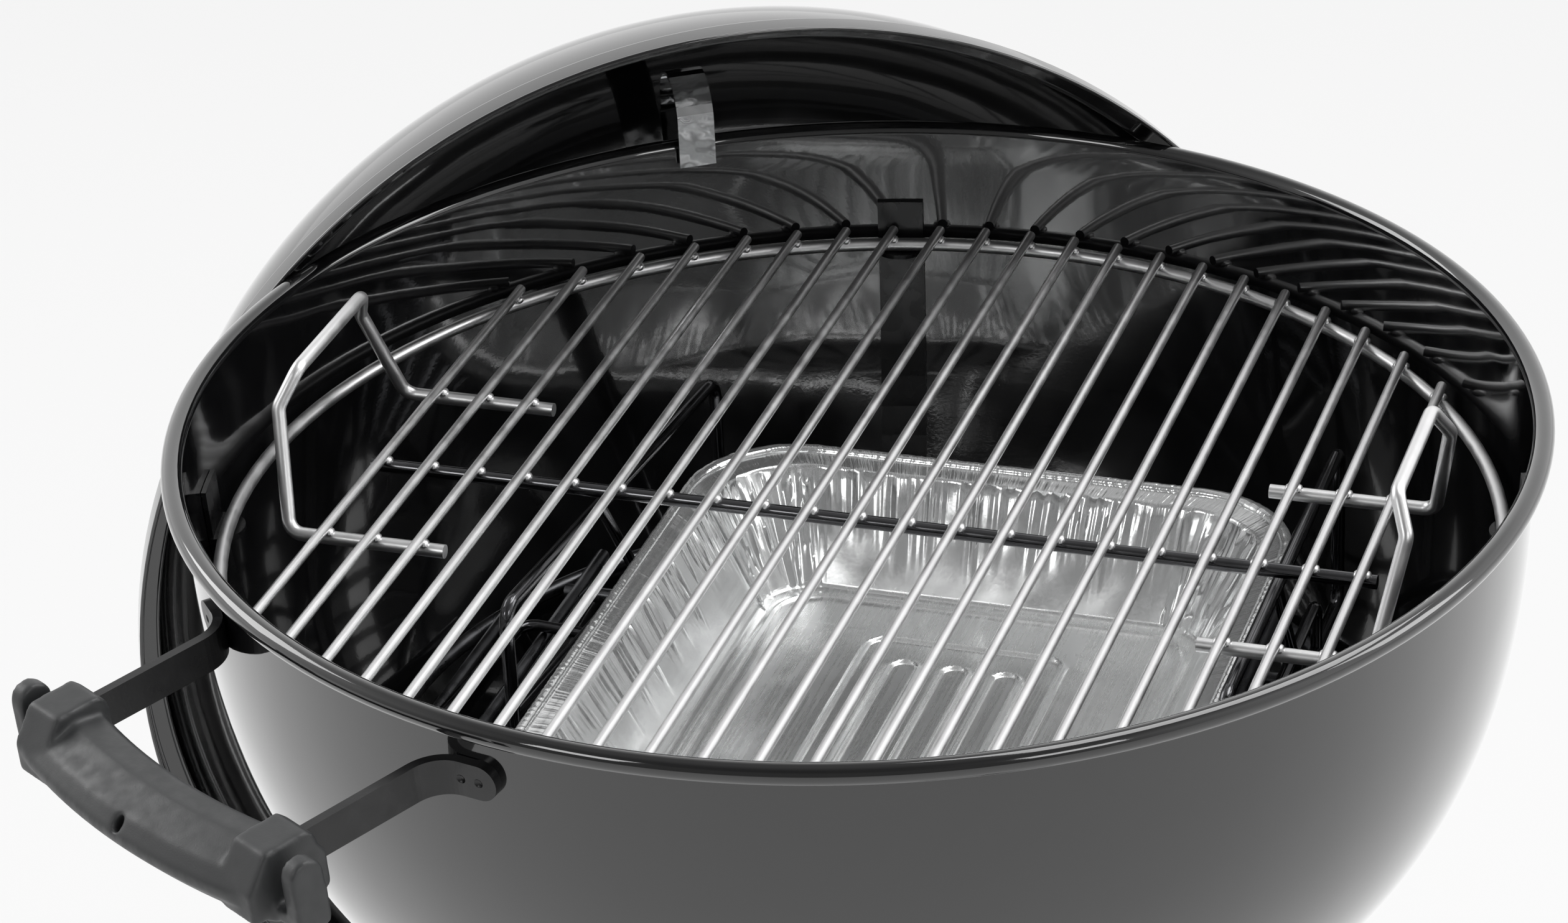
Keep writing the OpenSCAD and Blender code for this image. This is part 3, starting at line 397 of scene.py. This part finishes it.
def drawn_aluminium():
    """Drawn aluminium tube, brushed along its length."""
    made, tree, shader = surface("brushed_aluminium_tube", "#b9babc", 0.3, 1.0)
    marks = grain(tree, 0.8, (1, 1, 0.02), detail=3)
    uneven(
        tree,
        shader,
        bumps=[(marks, 0.02)],
        gloss=(marks, 0.24, 0.4),
        tint=(grain(tree, 24), "#afb0b2", "#c4c5c6"),
    )
    return made


def zinc_wire():
    """Zinc-plated wire and flat bar, grey and slightly cloudy."""
    made, tree, shader = surface("zinc_plated_steel", "#a3a5a8", 0.32, 1.0)
    uneven(
        tree,
        shader,
        bumps=[(grain(tree, 1.5), 0.012)],
        gloss=(grain(tree, 7), 0.25, 0.42),
        tint=(grain(tree, 9, detail=4), "#95979a", "#b0b2b4"),
    )
    return made


def moulded_plastic():
    """Black polypropylene, injection moulded with a satin texture."""
    made, tree, shader = surface("moulded_black_polypropylene", "#161617", 0.42, IOR=1.49)
    uneven(
        tree,
        shader,
        bumps=[(grain(tree, 0.9), 0.03)],
        gloss=(grain(tree, 8), 0.35, 0.52),
        tint=(grain(tree, 20), "#121213", "#1d1d1e"),
    )
    return made


def turned_steel():
    """Stainless steel, turned or pressed, with a faint grain."""
    made, tree, shader = surface("stainless_steel", "#b4b4b5", 0.2, 1.0)
    uneven(
        tree,
        shader,
        bumps=[(grain(tree, 1.2), 0.01)],
        gloss=(grain(tree, 6), 0.15, 0.28),
    )
    return made


def spun_aluminium():
    """Aluminium sheet, spun or pressed, with a matt face brushed in rings round its axis."""
    made, tree, shader = surface("spun_aluminium_sheet", "#bfc0c2", 0.34, 1.0)
    point = add(tree, "ShaderNodeTexCoord").outputs["Object"]
    flat = add(
        tree, "ShaderNodeVectorMath", {0: point, 1: (1, 1, 0)}, operation="MULTIPLY"
    ).outputs["Vector"]
    radius = add(tree, "ShaderNodeVectorMath", {0: flat}, operation="LENGTH").outputs["Value"]
    rings = add(
        tree,
        "ShaderNodeTexNoise",
        {"W": radius, "Scale": RINGS_PER_MM / MM, "Detail": 2.0},
        noise_dimensions="1D",
    ).outputs["Fac"]
    uneven(
        tree,
        shader,
        bumps=[(rings, 0.02)],
        gloss=(rings, 0.26, 0.44),
        tint=(grain(tree, 30), "#b4b5b7", "#cacbcc"),
    )
    return made


FINISHES = {
    "enamel": porcelain_enamel(),
    "strap_steel": strap_enamel(),
    "plated_wire": bright_wire(),
    "coal_wire": steel_wire(),
    "rail_steel": rail_wire_with_painted_shade(),
    "foil": rolled_foil(),
    "hook_steel": chrome(),
    "nylon": moulded_nylon(),
    "arm_steel": powder_coat(),
    "leg_aluminium": drawn_aluminium(),
    "rack_steel": zinc_wire(),
    "wheel_plastic": moulded_plastic(),
    "bright_steel": turned_steel(),
    "damper_aluminium": spun_aluminium(),
}

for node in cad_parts.values():
    for slot in node.material_slots:
        slot.material = FINISHES[slot.material.name]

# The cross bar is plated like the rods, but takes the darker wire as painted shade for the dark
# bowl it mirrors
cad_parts["cooking_cross_bar"].material_slots[0].material = FINISHES["rail_steel"]

# Sheet and bar have edges that are broken by tumbling, which catch the light
EDGES = {
    "lid_hook": 0.35,
    "support_straps": 0.25,
    "handle_arm_left": 0.6,
    "handle_arm_right": 0.6,
    "damper_lever": 0.4,
    "damper_blades": 0.3,
    "ash_frame": 0.4,
    "rack_clips": 0.3,
    "vent_disc": 0.2,
}
for name, width in EDGES.items():
    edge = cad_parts[name].modifiers.new("edge", "BEVEL")
    edge.width = width * MM
    edge.segments = 2
    edge.limit_method = "ANGLE"
    edge.angle_limit = math.radians(50)

# ---------------------------------------------------------------- tools for making pieces


def piece(name, bm, body, finish, *stands_for, sharp=SHARP):
    """Finishes a bmesh as a smooth-shaded object that rides on a body."""
    mesh = bpy.data.meshes.new(name)
    bm.to_mesh(mesh)
    bm.free()
    mesh.shade_smooth()
    mesh.set_sharp_from_angle(angle=math.radians(sharp))
    mesh.materials.append(FINISHES[finish])
    made = bpy.data.objects.new(name, mesh)
    scene.collection.objects.link(made)
    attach(made, body)
    if stands_for:
        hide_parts(*stands_for)
    return made


def lathe(outline, steps=192, closed=True):
    """Turns an outline of (radius, height) once around the z axis."""
    bm = bmesh.new()
    verts = [bm.verts.new((r * MM, 0, z * MM)) for r, z in outline]
    ends = verts[1:] + verts[:1] if closed else verts[1:]
    edges = [bm.edges.new(pair) for pair in zip(verts, ends)]
    bmesh.ops.spin(
        bm,
        geom=verts + edges,
        cent=(0, 0, 0),
        axis=(0, 0, 1),
        angle=math.tau,
        steps=steps,
        use_merge=True,
    )
    bmesh.ops.remove_doubles(bm, verts=bm.verts, dist=1e-6)
    bmesh.ops.recalc_face_normals(bm, faces=bm.faces)
    return bm


def dish(radius, depth, power, start=0.0, stop=90.0, steps=64):
    """Points (radius, depth) along a bowl-like curve."""
    points = []
    for i in range(steps + 1):
        t = math.radians(start + (stop - start) * i / steps)
        out = max(math.cos(t), 0) ** (2 / power)
        down = math.sin(t) ** (2 / power)
        points.append((radius * out, depth * down))
    return points


def arc(x, z, radius, start, stop, steps):
    """Points of an arc around (x, z)."""
    angles = [math.radians(start + (stop - start) * i / steps) for i in range(steps + 1)]
    return [(x + radius * math.cos(a), z + radius * math.sin(a)) for a in angles]


def cut(target, cutter):
    """Cuts one bmesh out of a finished piece, and keeps the piece's name and place."""
    mesh = bpy.data.meshes.new("cutter")
    bmesh.ops.recalc_face_normals(cutter, faces=cutter.faces)
    cutter.to_mesh(mesh)
    cutter.free()
    tool = bpy.data.objects.new("cutter", mesh)
    scene.collection.objects.link(tool)
    change = target.modifiers.new("cut", "BOOLEAN")
    change.object = tool
    change.operation = "DIFFERENCE"
    change.solver = "EXACT"
    bpy.context.view_layer.update()
    graph = bpy.context.evaluated_depsgraph_get()
    result = bpy.data.meshes.new_from_object(target.evaluated_get(graph))
    target.modifiers.clear()
    target.data = result
    bpy.data.objects.remove(tool)


def prism(bm, radius, low, high, matrix, stretch=0.0, segments=48):
    """A round or long-round column between two heights."""
    ring = bmesh.ops.create_circle(bm, cap_ends=True, segments=segments, radius=radius * MM)
    for v in ring["verts"]:
        v.co.x += math.copysign(stretch / 2 * MM, v.co.x) if abs(v.co.x) > 1e-7 else 0
        v.co.z = low * MM
    face = next(f for f in bm.faces if set(f.verts) == set(ring["verts"]))
    grown = bmesh.ops.extrude_face_region(bm, geom=[face], use_keep_orig=True)
    top = [v for v in grown["geom"] if isinstance(v, bmesh.types.BMVert)]
    bmesh.ops.translate(bm, verts=top, vec=(0, 0, (high - low) * MM))
    bmesh.ops.transform(bm, matrix=matrix, verts=ring["verts"] + top)


def bent_wire(bm, path, radius, bend, sides=20):
    """A round wire along a path: straight runs are drawn out and each corner is turned."""
    points = [Vector(p) * MM for p in path]
    ways = [(b - a).normalized() for a, b in zip(points, points[1:])]
    first = ways[0].to_track_quat("Z", "Y").to_matrix().to_4x4()
    ring = bmesh.ops.create_circle(
        bm,
        cap_ends=False,
        segments=sides,
        radius=radius * MM,
        matrix=Matrix.Translation(points[0]) @ first,
    )["verts"]
    edges = list({e for v in ring for e in v.link_edges})
    caps = [edges]
    here = points[0]
    for i, way in enumerate(ways):
        corner = points[i + 1]
        angle = way.angle(ways[i + 1]) if i + 1 < len(ways) else 0.0
        trim = bend * MM * math.tan(angle / 2)
        run = (corner - here).length - trim
        grown = bmesh.ops.extrude_edge_only(bm, edges=edges)["geom"]
        bmesh.ops.translate(
            bm, verts=[g for g in grown if isinstance(g, bmesh.types.BMVert)], vec=way * run
        )
        edges = [g for g in grown if isinstance(g, bmesh.types.BMEdge)]
        here = here + way * run
        if angle:
            axis = way.cross(ways[i + 1]).normalized()
            middle = here + axis.cross(way) * bend * MM
            grown = bmesh.ops.spin(
                bm,
                geom=edges + list({v for e in edges for v in e.verts}),
                cent=middle,
                axis=axis,
                angle=angle,
                steps=max(4, round(math.degrees(angle) / 9)),
            )["geom_last"]
            edges = [g for g in grown if isinstance(g, bmesh.types.BMEdge)]
            here = middle + Matrix.Rotation(angle, 3, axis) @ (here - middle)
    caps.append(edges)
    for cap in caps:
        bmesh.ops.contextual_create(bm, geom=cap)


# ---------------------------------------------------------------- bowl and lid


def bowl():
    """The kettle's bowl: a deep pressed dish with a rolled bead around its mouth."""
    inner = [(r, BEAD_Z - d) for r, d in dish(MOUTH_R, BOWL_DEPTH - SHEET, BOWL_CURVE)]
    outer = [(r, BEAD_Z - d) for r, d in dish(WALL_R, BOWL_DEPTH, BOWL_CURVE)]
    inner = [p for p in inner if p[0] > SHAFT_HOLE] + [(SHAFT_HOLE, inner[-1][1])]
    outer = [p for p in outer if p[0] > SHAFT_HOLE] + [(SHAFT_HOLE, outer[-1][1])]
    bead = arc(RIM_R - BEAD_R, BEAD_Z, BEAD_R, 180, -137, 28)
    outer = [p for p in outer if p[1] < bead[-1][1] - 1]
    made = piece(
        "bowl_shell", lathe(inner[::-1] + bead[1:] + outer), "stand", "enamel", "bowl"
    )
    slots = bmesh.new()
    for angle in (0, 120, 240):
        prism(
            slots,
            SLOT_R,
            BEAD_Z - BOWL_DEPTH - 2,
            BEAD_Z - BOWL_DEPTH + 60,
            turn("Z", angle) @ shift(SLOT_OUT, 0, 0),
            stretch=SLOT_STRETCH,
        )
    cut(made, slots)
    made.data.set_sharp_from_angle(angle=math.radians(SHARP))
    return made


def vent_place():
    """Where the lid's vent sits, square to the dome."""
    depth = LID_H - SKIRT_H

    def height(r):
        return SKIRT_H + depth * (1 - (r / WALL_R) ** LID_CURVE) ** (1 / LID_CURVE)

    slope = math.degrees(math.atan((height(VENT_OUT - 1) - height(VENT_OUT + 1)) / 2))
    return HUNG @ shift(0, -VENT_OUT, height(VENT_OUT)) @ turn("X", slope)


def lid_shell():
    """The lid: a domed pressing with a stepped skirt and a folded hem."""
    depth = LID_H - SKIRT_H
    outer = [(r, SKIRT_H + d) for r, d in dish(WALL_R, depth, LID_CURVE)]
    inner = [(r, SKIRT_H + d) for r, d in dish(MOUTH_R, depth - SHEET, LID_CURVE)]
    skirt = SKIRT_IN + SHEET
    root = SHOULDER_ROOT
    edge = SHOULDER_EDGE
    edge_in = SHOULDER_EDGE_IN
    root_in = SHOULDER_ROOT_IN
    shoulder = (
        arc(WALL_R + root, SKIRT_H + root, root, 180, 270, 4)
        + arc(skirt - edge, SKIRT_H - edge, edge, 90, 0, 6)
        + arc(SKIRT_IN + HEM_R, 0, HEM_R, 76, -180, 14)
        + arc(SKIRT_IN - edge_in, SKIRT_H - SHEET - edge_in, edge_in, 0, 90, 4)
        + arc(MOUTH_R + root_in, SKIRT_H - SHEET + root_in, root_in, 270, 180, 5)
    )
    outline = (
        [p for p in outer if p[1] > SKIRT_H + 2.2][::-1]
        + shoulder
        + [p for p in inner if p[1] > SKIRT_H + 1.4]
    )
    bm = lathe(outline, closed=False)
    bmesh.ops.transform(bm, matrix=HUNG, verts=bm.verts)
    made = piece("lid_dome", bm, "lid", "enamel", "lid_shell")
    holes = bmesh.new()
    for i in range(4):
        matrix = vent_place() @ turn("Z", 90 * i + 45) @ shift(AIR_OUT, 0, 0)
        prism(holes, AIR_R, -16, 16, matrix)
    cut(made, holes)
    made.data.set_sharp_from_angle(angle=math.radians(SHARP))
    return made


bowl()
lid_shell()

# ---------------------------------------------------------------- cooking grate


def grate_handle(side, name, stands_for):
    """A lift handle: bent wire under the outer rods that rises into a sloping loop."""
    half = [
        (HANDLE_IN, HANDLE_SIDE, WIRE_Z),
        (HANDLE_OUT, HANDLE_SIDE, WIRE_Z),
        (239, 45, ROD_Z + 43),
        (233, 35, ROD_Z + 57),
    ]
    path = half + [(x, -y, z) for x, y, z in half[::-1]]
    bm = bmesh.new()
    bent_wire(bm, [(side * x, y, z) for x, y, z in path], WIRE_R, 7)
    bmesh.ops.recalc_face_normals(bm, faces=bm.faces)
    return piece(name, bm, "cooking_grate", "plated_wire", stands_for)


def weld_beads():
    """Small nuggets of metal squeezed out where each rod is welded to a wire under it."""
    ring_low, ring_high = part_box("cooking_ring")
    ring_r = (ring_high.x - ring_low.x) / 2 / MM - WIRE_R
    spots = []
    for i in range(-RODS_SIDE, RODS_SIDE + 1):
        x = i * ROD_PITCH
        if abs(x) < BAR_HALF:
            spots.append((x, 0))
        reach = math.sqrt(ring_r**2 - x**2)
        spots += [(x, reach), (x, -reach)]
        if HANDLE_IN < abs(x) < HANDLE_OUT:
            spots += [(x, HANDLE_SIDE), (x, -HANDLE_SIDE)]
    bm = bmesh.new()
    for x, y in spots:
        for s in (-1, 1):
            bmesh.ops.create_uvsphere(
                bm,
                u_segments=10,
                v_segments=6,
                radius=MM,
                matrix=shift(x + s * 2.1, y - 0.8, ROD_Z - 2)
                @ Matrix.Diagonal((1.7, 2.7, 1.7, 1)),
            )
    return piece("grate_weld_beads", bm, "cooking_grate", "plated_wire")


grate_handle(-1, "grate_lift_left", "cooking_handle_left")
grate_handle(1, "grate_lift_right", "cooking_handle_right")
weld_beads()

# ---------------------------------------------------------------- foil pan


def pan_section(floor, top):
    """The pan's section from its curled edge inwards to its floor: how far in each point is,
    its height, and the radius of the pan's corners there."""
    ledge = top - LEDGE_DROP
    curl = arc(0, top, CURL_R, -150, 168, 10)
    section = [(CURL_IN - r, z, PAN_CORNER) for r, z in curl]
    section += [(4.6, top - 0.5, 46), (5.4, top - 1.0, 45.2), (8.2, top - 1.8, 44)]
    section += [(10.6, top - 2.6, 43), (11.5, top - 3.0, 42.8)]
    steps = 13
    for i in range(steps + 1):
        t = i / steps
        drop = ledge - 0.8 + (floor + 3.2 - ledge) * t
        section.append((WALL_TOP + (WALL_LOW - 2.6 - WALL_TOP) * t, drop, 42.5 - 18 * t))
    section += [(36.6, floor + 1.1, 24), (38.2, floor + 0.3, 23.6), (40.2, floor, 23)]
    section += [(42.4, floor, 22), (43.1, floor + 0.7, 21.5), (43.8, floor + 1.2, 21)]
    section += [(44.5, floor + 0.7, 20.6), (45.2, floor, 20), (50, floor, 18)]
    return section


def pan_marks(straight, short, corner):
    """Marks around a rounded rectangle: which corner centre each lies by, and its normal."""
    marks = []
    turns = [
        ((1, 1), 0, short, 90, (-1, 1)),
        ((-1, 1), 90, straight, 180, (-1, -1)),
        ((-1, -1), 180, short, 270, (1, -1)),
        ((1, -1), 270, straight, 0, (1, 1)),
    ]
    for (cx, cy), start, count, facing, (bx, by) in turns:
        for i in range(corner):
            a = math.radians(start + 90 * i / corner)
            marks.append((cx, cy, math.cos(a), math.sin(a)))
        a = math.radians(facing)
        for i in range(count):
            t = i / count
            marks.append((cx + (bx - cx) * t, cy + (by - cy) * t, math.cos(a), math.sin(a)))
    return marks


def smooth_step(value):
    value = min(max(value, 0), 1)
    return value * value * (3 - 2 * value)


def pleat(s, corner, height):
    """How far the wall stands in or out at a distance s around the pan. The folds are
    irregular, deeper at the corners, and die out towards the floor."""
    lean = s + 7 * (1 - height) * noise.noise(Vector((s / 22, 4, 8)))
    fold = 0.45 - 1.9 * abs(noise.noise(Vector((lean / 3.6, 0.5, 3.1))))
    fold += 0.5 * noise.noise(Vector((lean / 1.9, 7, 1)))
    low = 0.3 + 0.45 * noise.noise(Vector((s / 14, 2.2, 9))) - 0.4 * corner
    strength = smooth_step((height - low) / 0.45) * smooth_step((1.03 - height) / 0.1)
    dent = 0.9 * noise.noise(Vector((s / 26, height * 1.5, 5)))
    return fold * strength * (1.0 + 0.8 * corner) + dent * smooth_step(height * 4)


def stamped(x, y):
    """Height of the raised pattern on the pan's floor: a frame around three plain ribs."""

    def ridge(distance, width, height):
        share = min(abs(distance) / width, 1)
        return height * (1 - share * share) ** 2

    def box_distance(w, h, r):
        dx, dy = abs(x) - w / 2 + r, abs(y) - h / 2 + r
        outside = math.hypot(max(dx, 0), max(dy, 0))
        return outside + min(max(dx, dy), 0) - r

    height = ridge(box_distance(FRAME_WIDTH, FRAME_LENGTH, FRAME_CORNER), 1.8, 1.7)
    for i in (-1, 0, 1):
        dy = max(abs(y) - RIB_HALF, 0)
        height = max(height, ridge(math.hypot(x - RIB_PITCH * i, dy) - RIB_R, 1.7, 1.5))
    return height


def grid_lines(half, zones):
    """Places of grid lines from -half to half, close together inside the zones."""
    lines = [0.0]
    while lines[-1] < half:
        close = any(start <= lines[-1] < stop for start, stop in zones)
        lines.append(min(lines[-1] + (GRID_FINE if close else GRID_COARSE), half))
    return [-v for v in lines[:0:-1]] + lines


def pan_walls(bm, where, middle, half_w, half_l, floor, top):
    """Draws the edge, lip and walls inwards, one loop after another. It notes each vertex's
    way around and inwards in where, and gives back the innermost loop of edges."""
    marks = pan_marks(straight=230, short=168, corner=46)

    def at(mark, inset, corner):
        cx, cy, nx, ny = mark
        return Vector(
            (
                middle.x + cx * (half_w - inset - corner) + nx * corner,
                middle.y + cy * (half_l - inset - corner) + ny * corner,
                0,
            )
        )

    spacing = []
    travelled = 0.0
    outline = [at(m, 0, PAN_CORNER) for m in marks]
    for a, b in zip(outline, outline[1:] + outline[:1]):
        spacing.append(travelled)
        travelled += (b - a).length
    ring = bmesh.ops.create_circle(bm, cap_ends=False, segments=len(marks), radius=0.1)["verts"]
    edges = list(bm.edges)
    run = 0.0
    before = None
    for k, (inset, z, corner) in enumerate(pan_section(floor, top)):
        if k:
            grown = bmesh.ops.extrude_edge_only(bm, edges=edges)["geom"]
            edges = [g for g in grown if isinstance(g, bmesh.types.BMEdge)]
            pairs = {}
            for v in ring:
                for e in v.link_edges:
                    other = e.other_vert(v)
                    if other not in where:
                        pairs[v] = other
            ring = [pairs[v] for v in ring]
        run += math.dist((inset, z), before) if before else 0
        before = (inset, z)
        height = (z - floor) / (top - LEDGE_DROP - floor)
        for v, mark, s in zip(ring, marks, spacing):
            push = 0.0
            if WALL_TOP <= inset < WALL_LOW:
                rounded = abs(mark[2] * mark[3]) > 1e-6
                push = pleat(s, 1.0 if rounded else 0.0, height)
            ripple = 0.0
            if inset < WALL_TOP:
                depth = CURL_RIPPLE if inset < CURL_END else LIP_RIPPLE
                ripple = depth * noise.noise(Vector((s / 1.6, k * 0.1, 0)))
            v.co = at(mark, inset - push, corner) * MM
            v.co.z = (z + ripple) * MM
            where[v] = (s, run)
    return edges


def pan_panel(bm, where, middle, floor):
    """The pan's floor, a grid whose lines lie close together along the stamped ridges. It
    gives back the edges of its border."""
    across = grid_lines(52, [(0, 31), (35, 48)])
    along = grid_lines(101, [(69, 79), (84, 97)])
    panel = bmesh.ops.create_grid(
        bm,
        x_segments=len(across) - 1,
        y_segments=len(along) - 1,
        size=0.5,
        matrix=Matrix.Translation((0.5, 0.5, 0)),
    )["verts"]
    for v in panel:
        x = across[round(v.co.x * (len(across) - 1))]
        y = along[round(v.co.y * (len(along) - 1))]
        v.co = Vector((middle.x + x, middle.y + y, floor + stamped(x, y))) * MM
        where[v] = (x, y + PANEL_UV)
    return [e for e in bm.edges if e.is_boundary and all(v in panel for v in e.verts)]


def foil_pan():
    """A drip pan pressed from foil: curled edge, flat lip, pleated walls, stamped floor."""
    low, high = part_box("drip_pan")
    middle = (low + high) / 2 / MM
    half_w = (high.x - low.x) / 2 / MM
    half_l = (high.y - low.y) / 2 / MM
    floor = low.z / MM + FLOOR_LIFT
    top = high.z / MM - CURL_IN
    bm = bmesh.new()
    around = bm.loops.layers.uv.new("around")
    where = {}
    inner = pan_walls(bm, where, middle, half_w, half_l, floor, top)
    border = pan_panel(bm, where, middle, floor)
    bmesh.ops.bridge_loops(bm, edges=inner + border)
    for face in bm.faces:
        for loop in face.loops:
            s, t = where[loop.vert]
            loop[around].uv = (s * MM, t * MM)
    bmesh.ops.recalc_face_normals(bm, faces=bm.faces)
    made = piece("foil_drip_pan", bm, "pan", "foil", "drip_pan", sharp=50)
    wall = made.modifiers.new("foil", "SOLIDIFY")
    wall.thickness = FOIL * MM
    wall.offset = 0
    return made


foil_pan()

# ---------------------------------------------------------------- side grip


def soft_copy(name, node, body, finish, voxel, rounds):
    """A moulded part with its edges and corners melted together, from a copy of its solid."""
    bm = bmesh.new()
    bm.from_mesh(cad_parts[node].data)
    bmesh.ops.remove_doubles(bm, verts=bm.verts, dist=0.01 * MM)
    made = piece(name, bm, body, finish, node)
    remesh = made.modifiers.new("remesh", "REMESH")
    remesh.mode = "VOXEL"
    remesh.voxel_size = voxel * MM
    bpy.context.view_layer.update()
    graph = bpy.context.evaluated_depsgraph_get()
    mesh = bpy.data.meshes.new_from_object(made.evaluated_get(graph))
    made.modifiers.clear()
    bm = bmesh.new()
    bm.from_mesh(mesh)
    for _ in range(rounds):
        bmesh.ops.smooth_vert(
            bm, verts=bm.verts, factor=0.5, use_axis_x=True, use_axis_y=True, use_axis_z=True
        )
    bm.to_mesh(mesh)
    bm.free()
    mesh.shade_smooth()
    made.data = mesh
    return made


soft_copy("side_grip_moulding", "side_grip", "stand", "nylon", 0.9, 11)

# ---------------------------------------------------------------- stage, light, camera

# The share of the background that is plain pale paper. The rest of it takes light and shadow.
PAPER_SHARE = 0.7
FLOOR_HALF = 40

# Strength of the room that the metal mirrors: its walls, its ceiling and its front's share
WALL_LIGHT = 1.05
CEILING_LIGHT = 0.35
FRONT_SHARE = 0.22

# Each square lamp's name, place, side in metres and power in watts. All aim at the bowl.
SOFTBOXES = [
    ("left_softbox", (-2.6, 0.4, 2.2), 1.4, 24),
    ("right_softbox", (2.6, 1.0, 2.0), 1.2, 18),
    ("front_left_softbox", (-1.3, -2.5, 2.4), 0.8, 10),
    ("front_right_softbox", (2.2, -1.9, 2.3), 0.8, 9),
    ("overhead_softbox", (0.9, 0.8, 3.1), 1.7, 36),
]
AIM = (0, 0, 0.6)

# The lens is in millimetres, the place in metres and the roll in degrees
LENS = 108.93
CAMERA_PLACE = (0.5422, -1.6441, 1.6222)
CAMERA_LOOK = (-0.290485, 0.832006, -0.472635)
CAMERA_ROLL = -2.82


def pale_floor():
    """A matt pale floor. The camera, and metal that mirrors it, see mostly plain paper."""
    made, tree, shader = surface("pale_floor", "#f4f4f4", 0.9)
    rays = add(tree, "ShaderNodeLightPath").outputs
    mirrored = add(
        tree,
        "ShaderNodeMath",
        {0: rays["Is Glossy Ray"], 1: rays["Is Transmission Ray"]},
        operation="MAXIMUM",
    ).outputs["Value"]
    watched = add(
        tree, "ShaderNodeMath", {0: rays["Is Camera Ray"], 1: mirrored}, operation="MAXIMUM"
    ).outputs["Value"]
    paper = add(
        tree, "ShaderNodeMath", {0: watched, 1: PAPER_SHARE}, operation="MULTIPLY"
    ).outputs["Value"]
    pale = add(
        tree, "ShaderNodeEmission", {"Color": linear("#fbfbfb"), "Strength": 1.0}
    ).outputs["Emission"]
    blend = add(tree, "ShaderNodeMixShader", {0: paper, 1: shader.outputs["BSDF"], 2: pale})
    tree.links.new(blend.outputs["Shader"], tree.nodes["Material Output"].inputs["Surface"])
    return made


def studio_room():
    """An even white room, dimmer overhead and behind the camera, as the metal mirrors it."""
    world = bpy.data.worlds.new("studio")
    scene.world = world
    world.use_nodes = True
    tree = world.node_tree
    sky = tree.nodes["Background"]
    sky.inputs["Color"].default_value = (1, 1, 1, 1)
    coords = add(tree, "ShaderNodeTexCoord").outputs["Generated"]
    way = add(tree, "ShaderNodeSeparateXYZ", {"Vector": coords}).outputs
    upwards = add(
        tree,
        "ShaderNodeMapRange",
        {
            "Value": way["Z"],
            "From Min": 0.5,
            "From Max": 0.85,
            "To Min": WALL_LIGHT,
            "To Max": CEILING_LIGHT,
        },
    ).outputs["Result"]
    backwards = add(
        tree,
        "ShaderNodeMapRange",
        {
            "Value": way["Y"],
            "From Min": -0.7,
            "From Max": 0.0,
            "To Min": FRONT_SHARE,
            "To Max": 1.0,
        },
    ).outputs["Result"]
    room = add(
        tree, "ShaderNodeMath", {0: upwards, 1: backwards}, operation="MULTIPLY"
    ).outputs["Value"]
    tree.links.new(room, sky.inputs["Strength"])


def softbox(name, place, size, power):
    """A square studio light aimed at the bowl."""
    light = bpy.data.lights.new(name, "AREA")
    light.size = size
    light.energy = power
    lamp = bpy.data.objects.new(name, light)
    lamp.location = place
    lamp.rotation_mode = "QUATERNION"
    lamp.rotation_quaternion = (Vector(AIM) - Vector(place)).to_track_quat("-Z", "Y")
    scene.collection.objects.link(lamp)


floor_bm = bmesh.new()
bmesh.ops.create_grid(floor_bm, x_segments=1, y_segments=1, size=FLOOR_HALF)
floor_mesh = bpy.data.meshes.new("floor")
floor_bm.to_mesh(floor_mesh)
floor_bm.free()
floor_mesh.materials.append(pale_floor())
floor = bpy.data.objects.new("floor", floor_mesh)
scene.collection.objects.link(floor)

studio_room()
for name, place, size, power in SOFTBOXES:
    softbox(name, place, size, power)

camera = bpy.data.objects.new("camera", bpy.data.cameras.new("camera"))
scene.collection.objects.link(camera)
camera.data.sensor_width = 36
camera.data.lens = LENS
camera.location = CAMERA_PLACE
camera.rotation_mode = "QUATERNION"
camera.rotation_quaternion = Vector(CAMERA_LOOK).to_track_quat("-Z", "Y") @ Quaternion(
    (0, 0, 1), math.radians(CAMERA_ROLL)
)
camera.data.clip_start = 0.05
camera.data.clip_end = 60
scene.camera = camera

scene.view_settings.view_transform = "Standard"
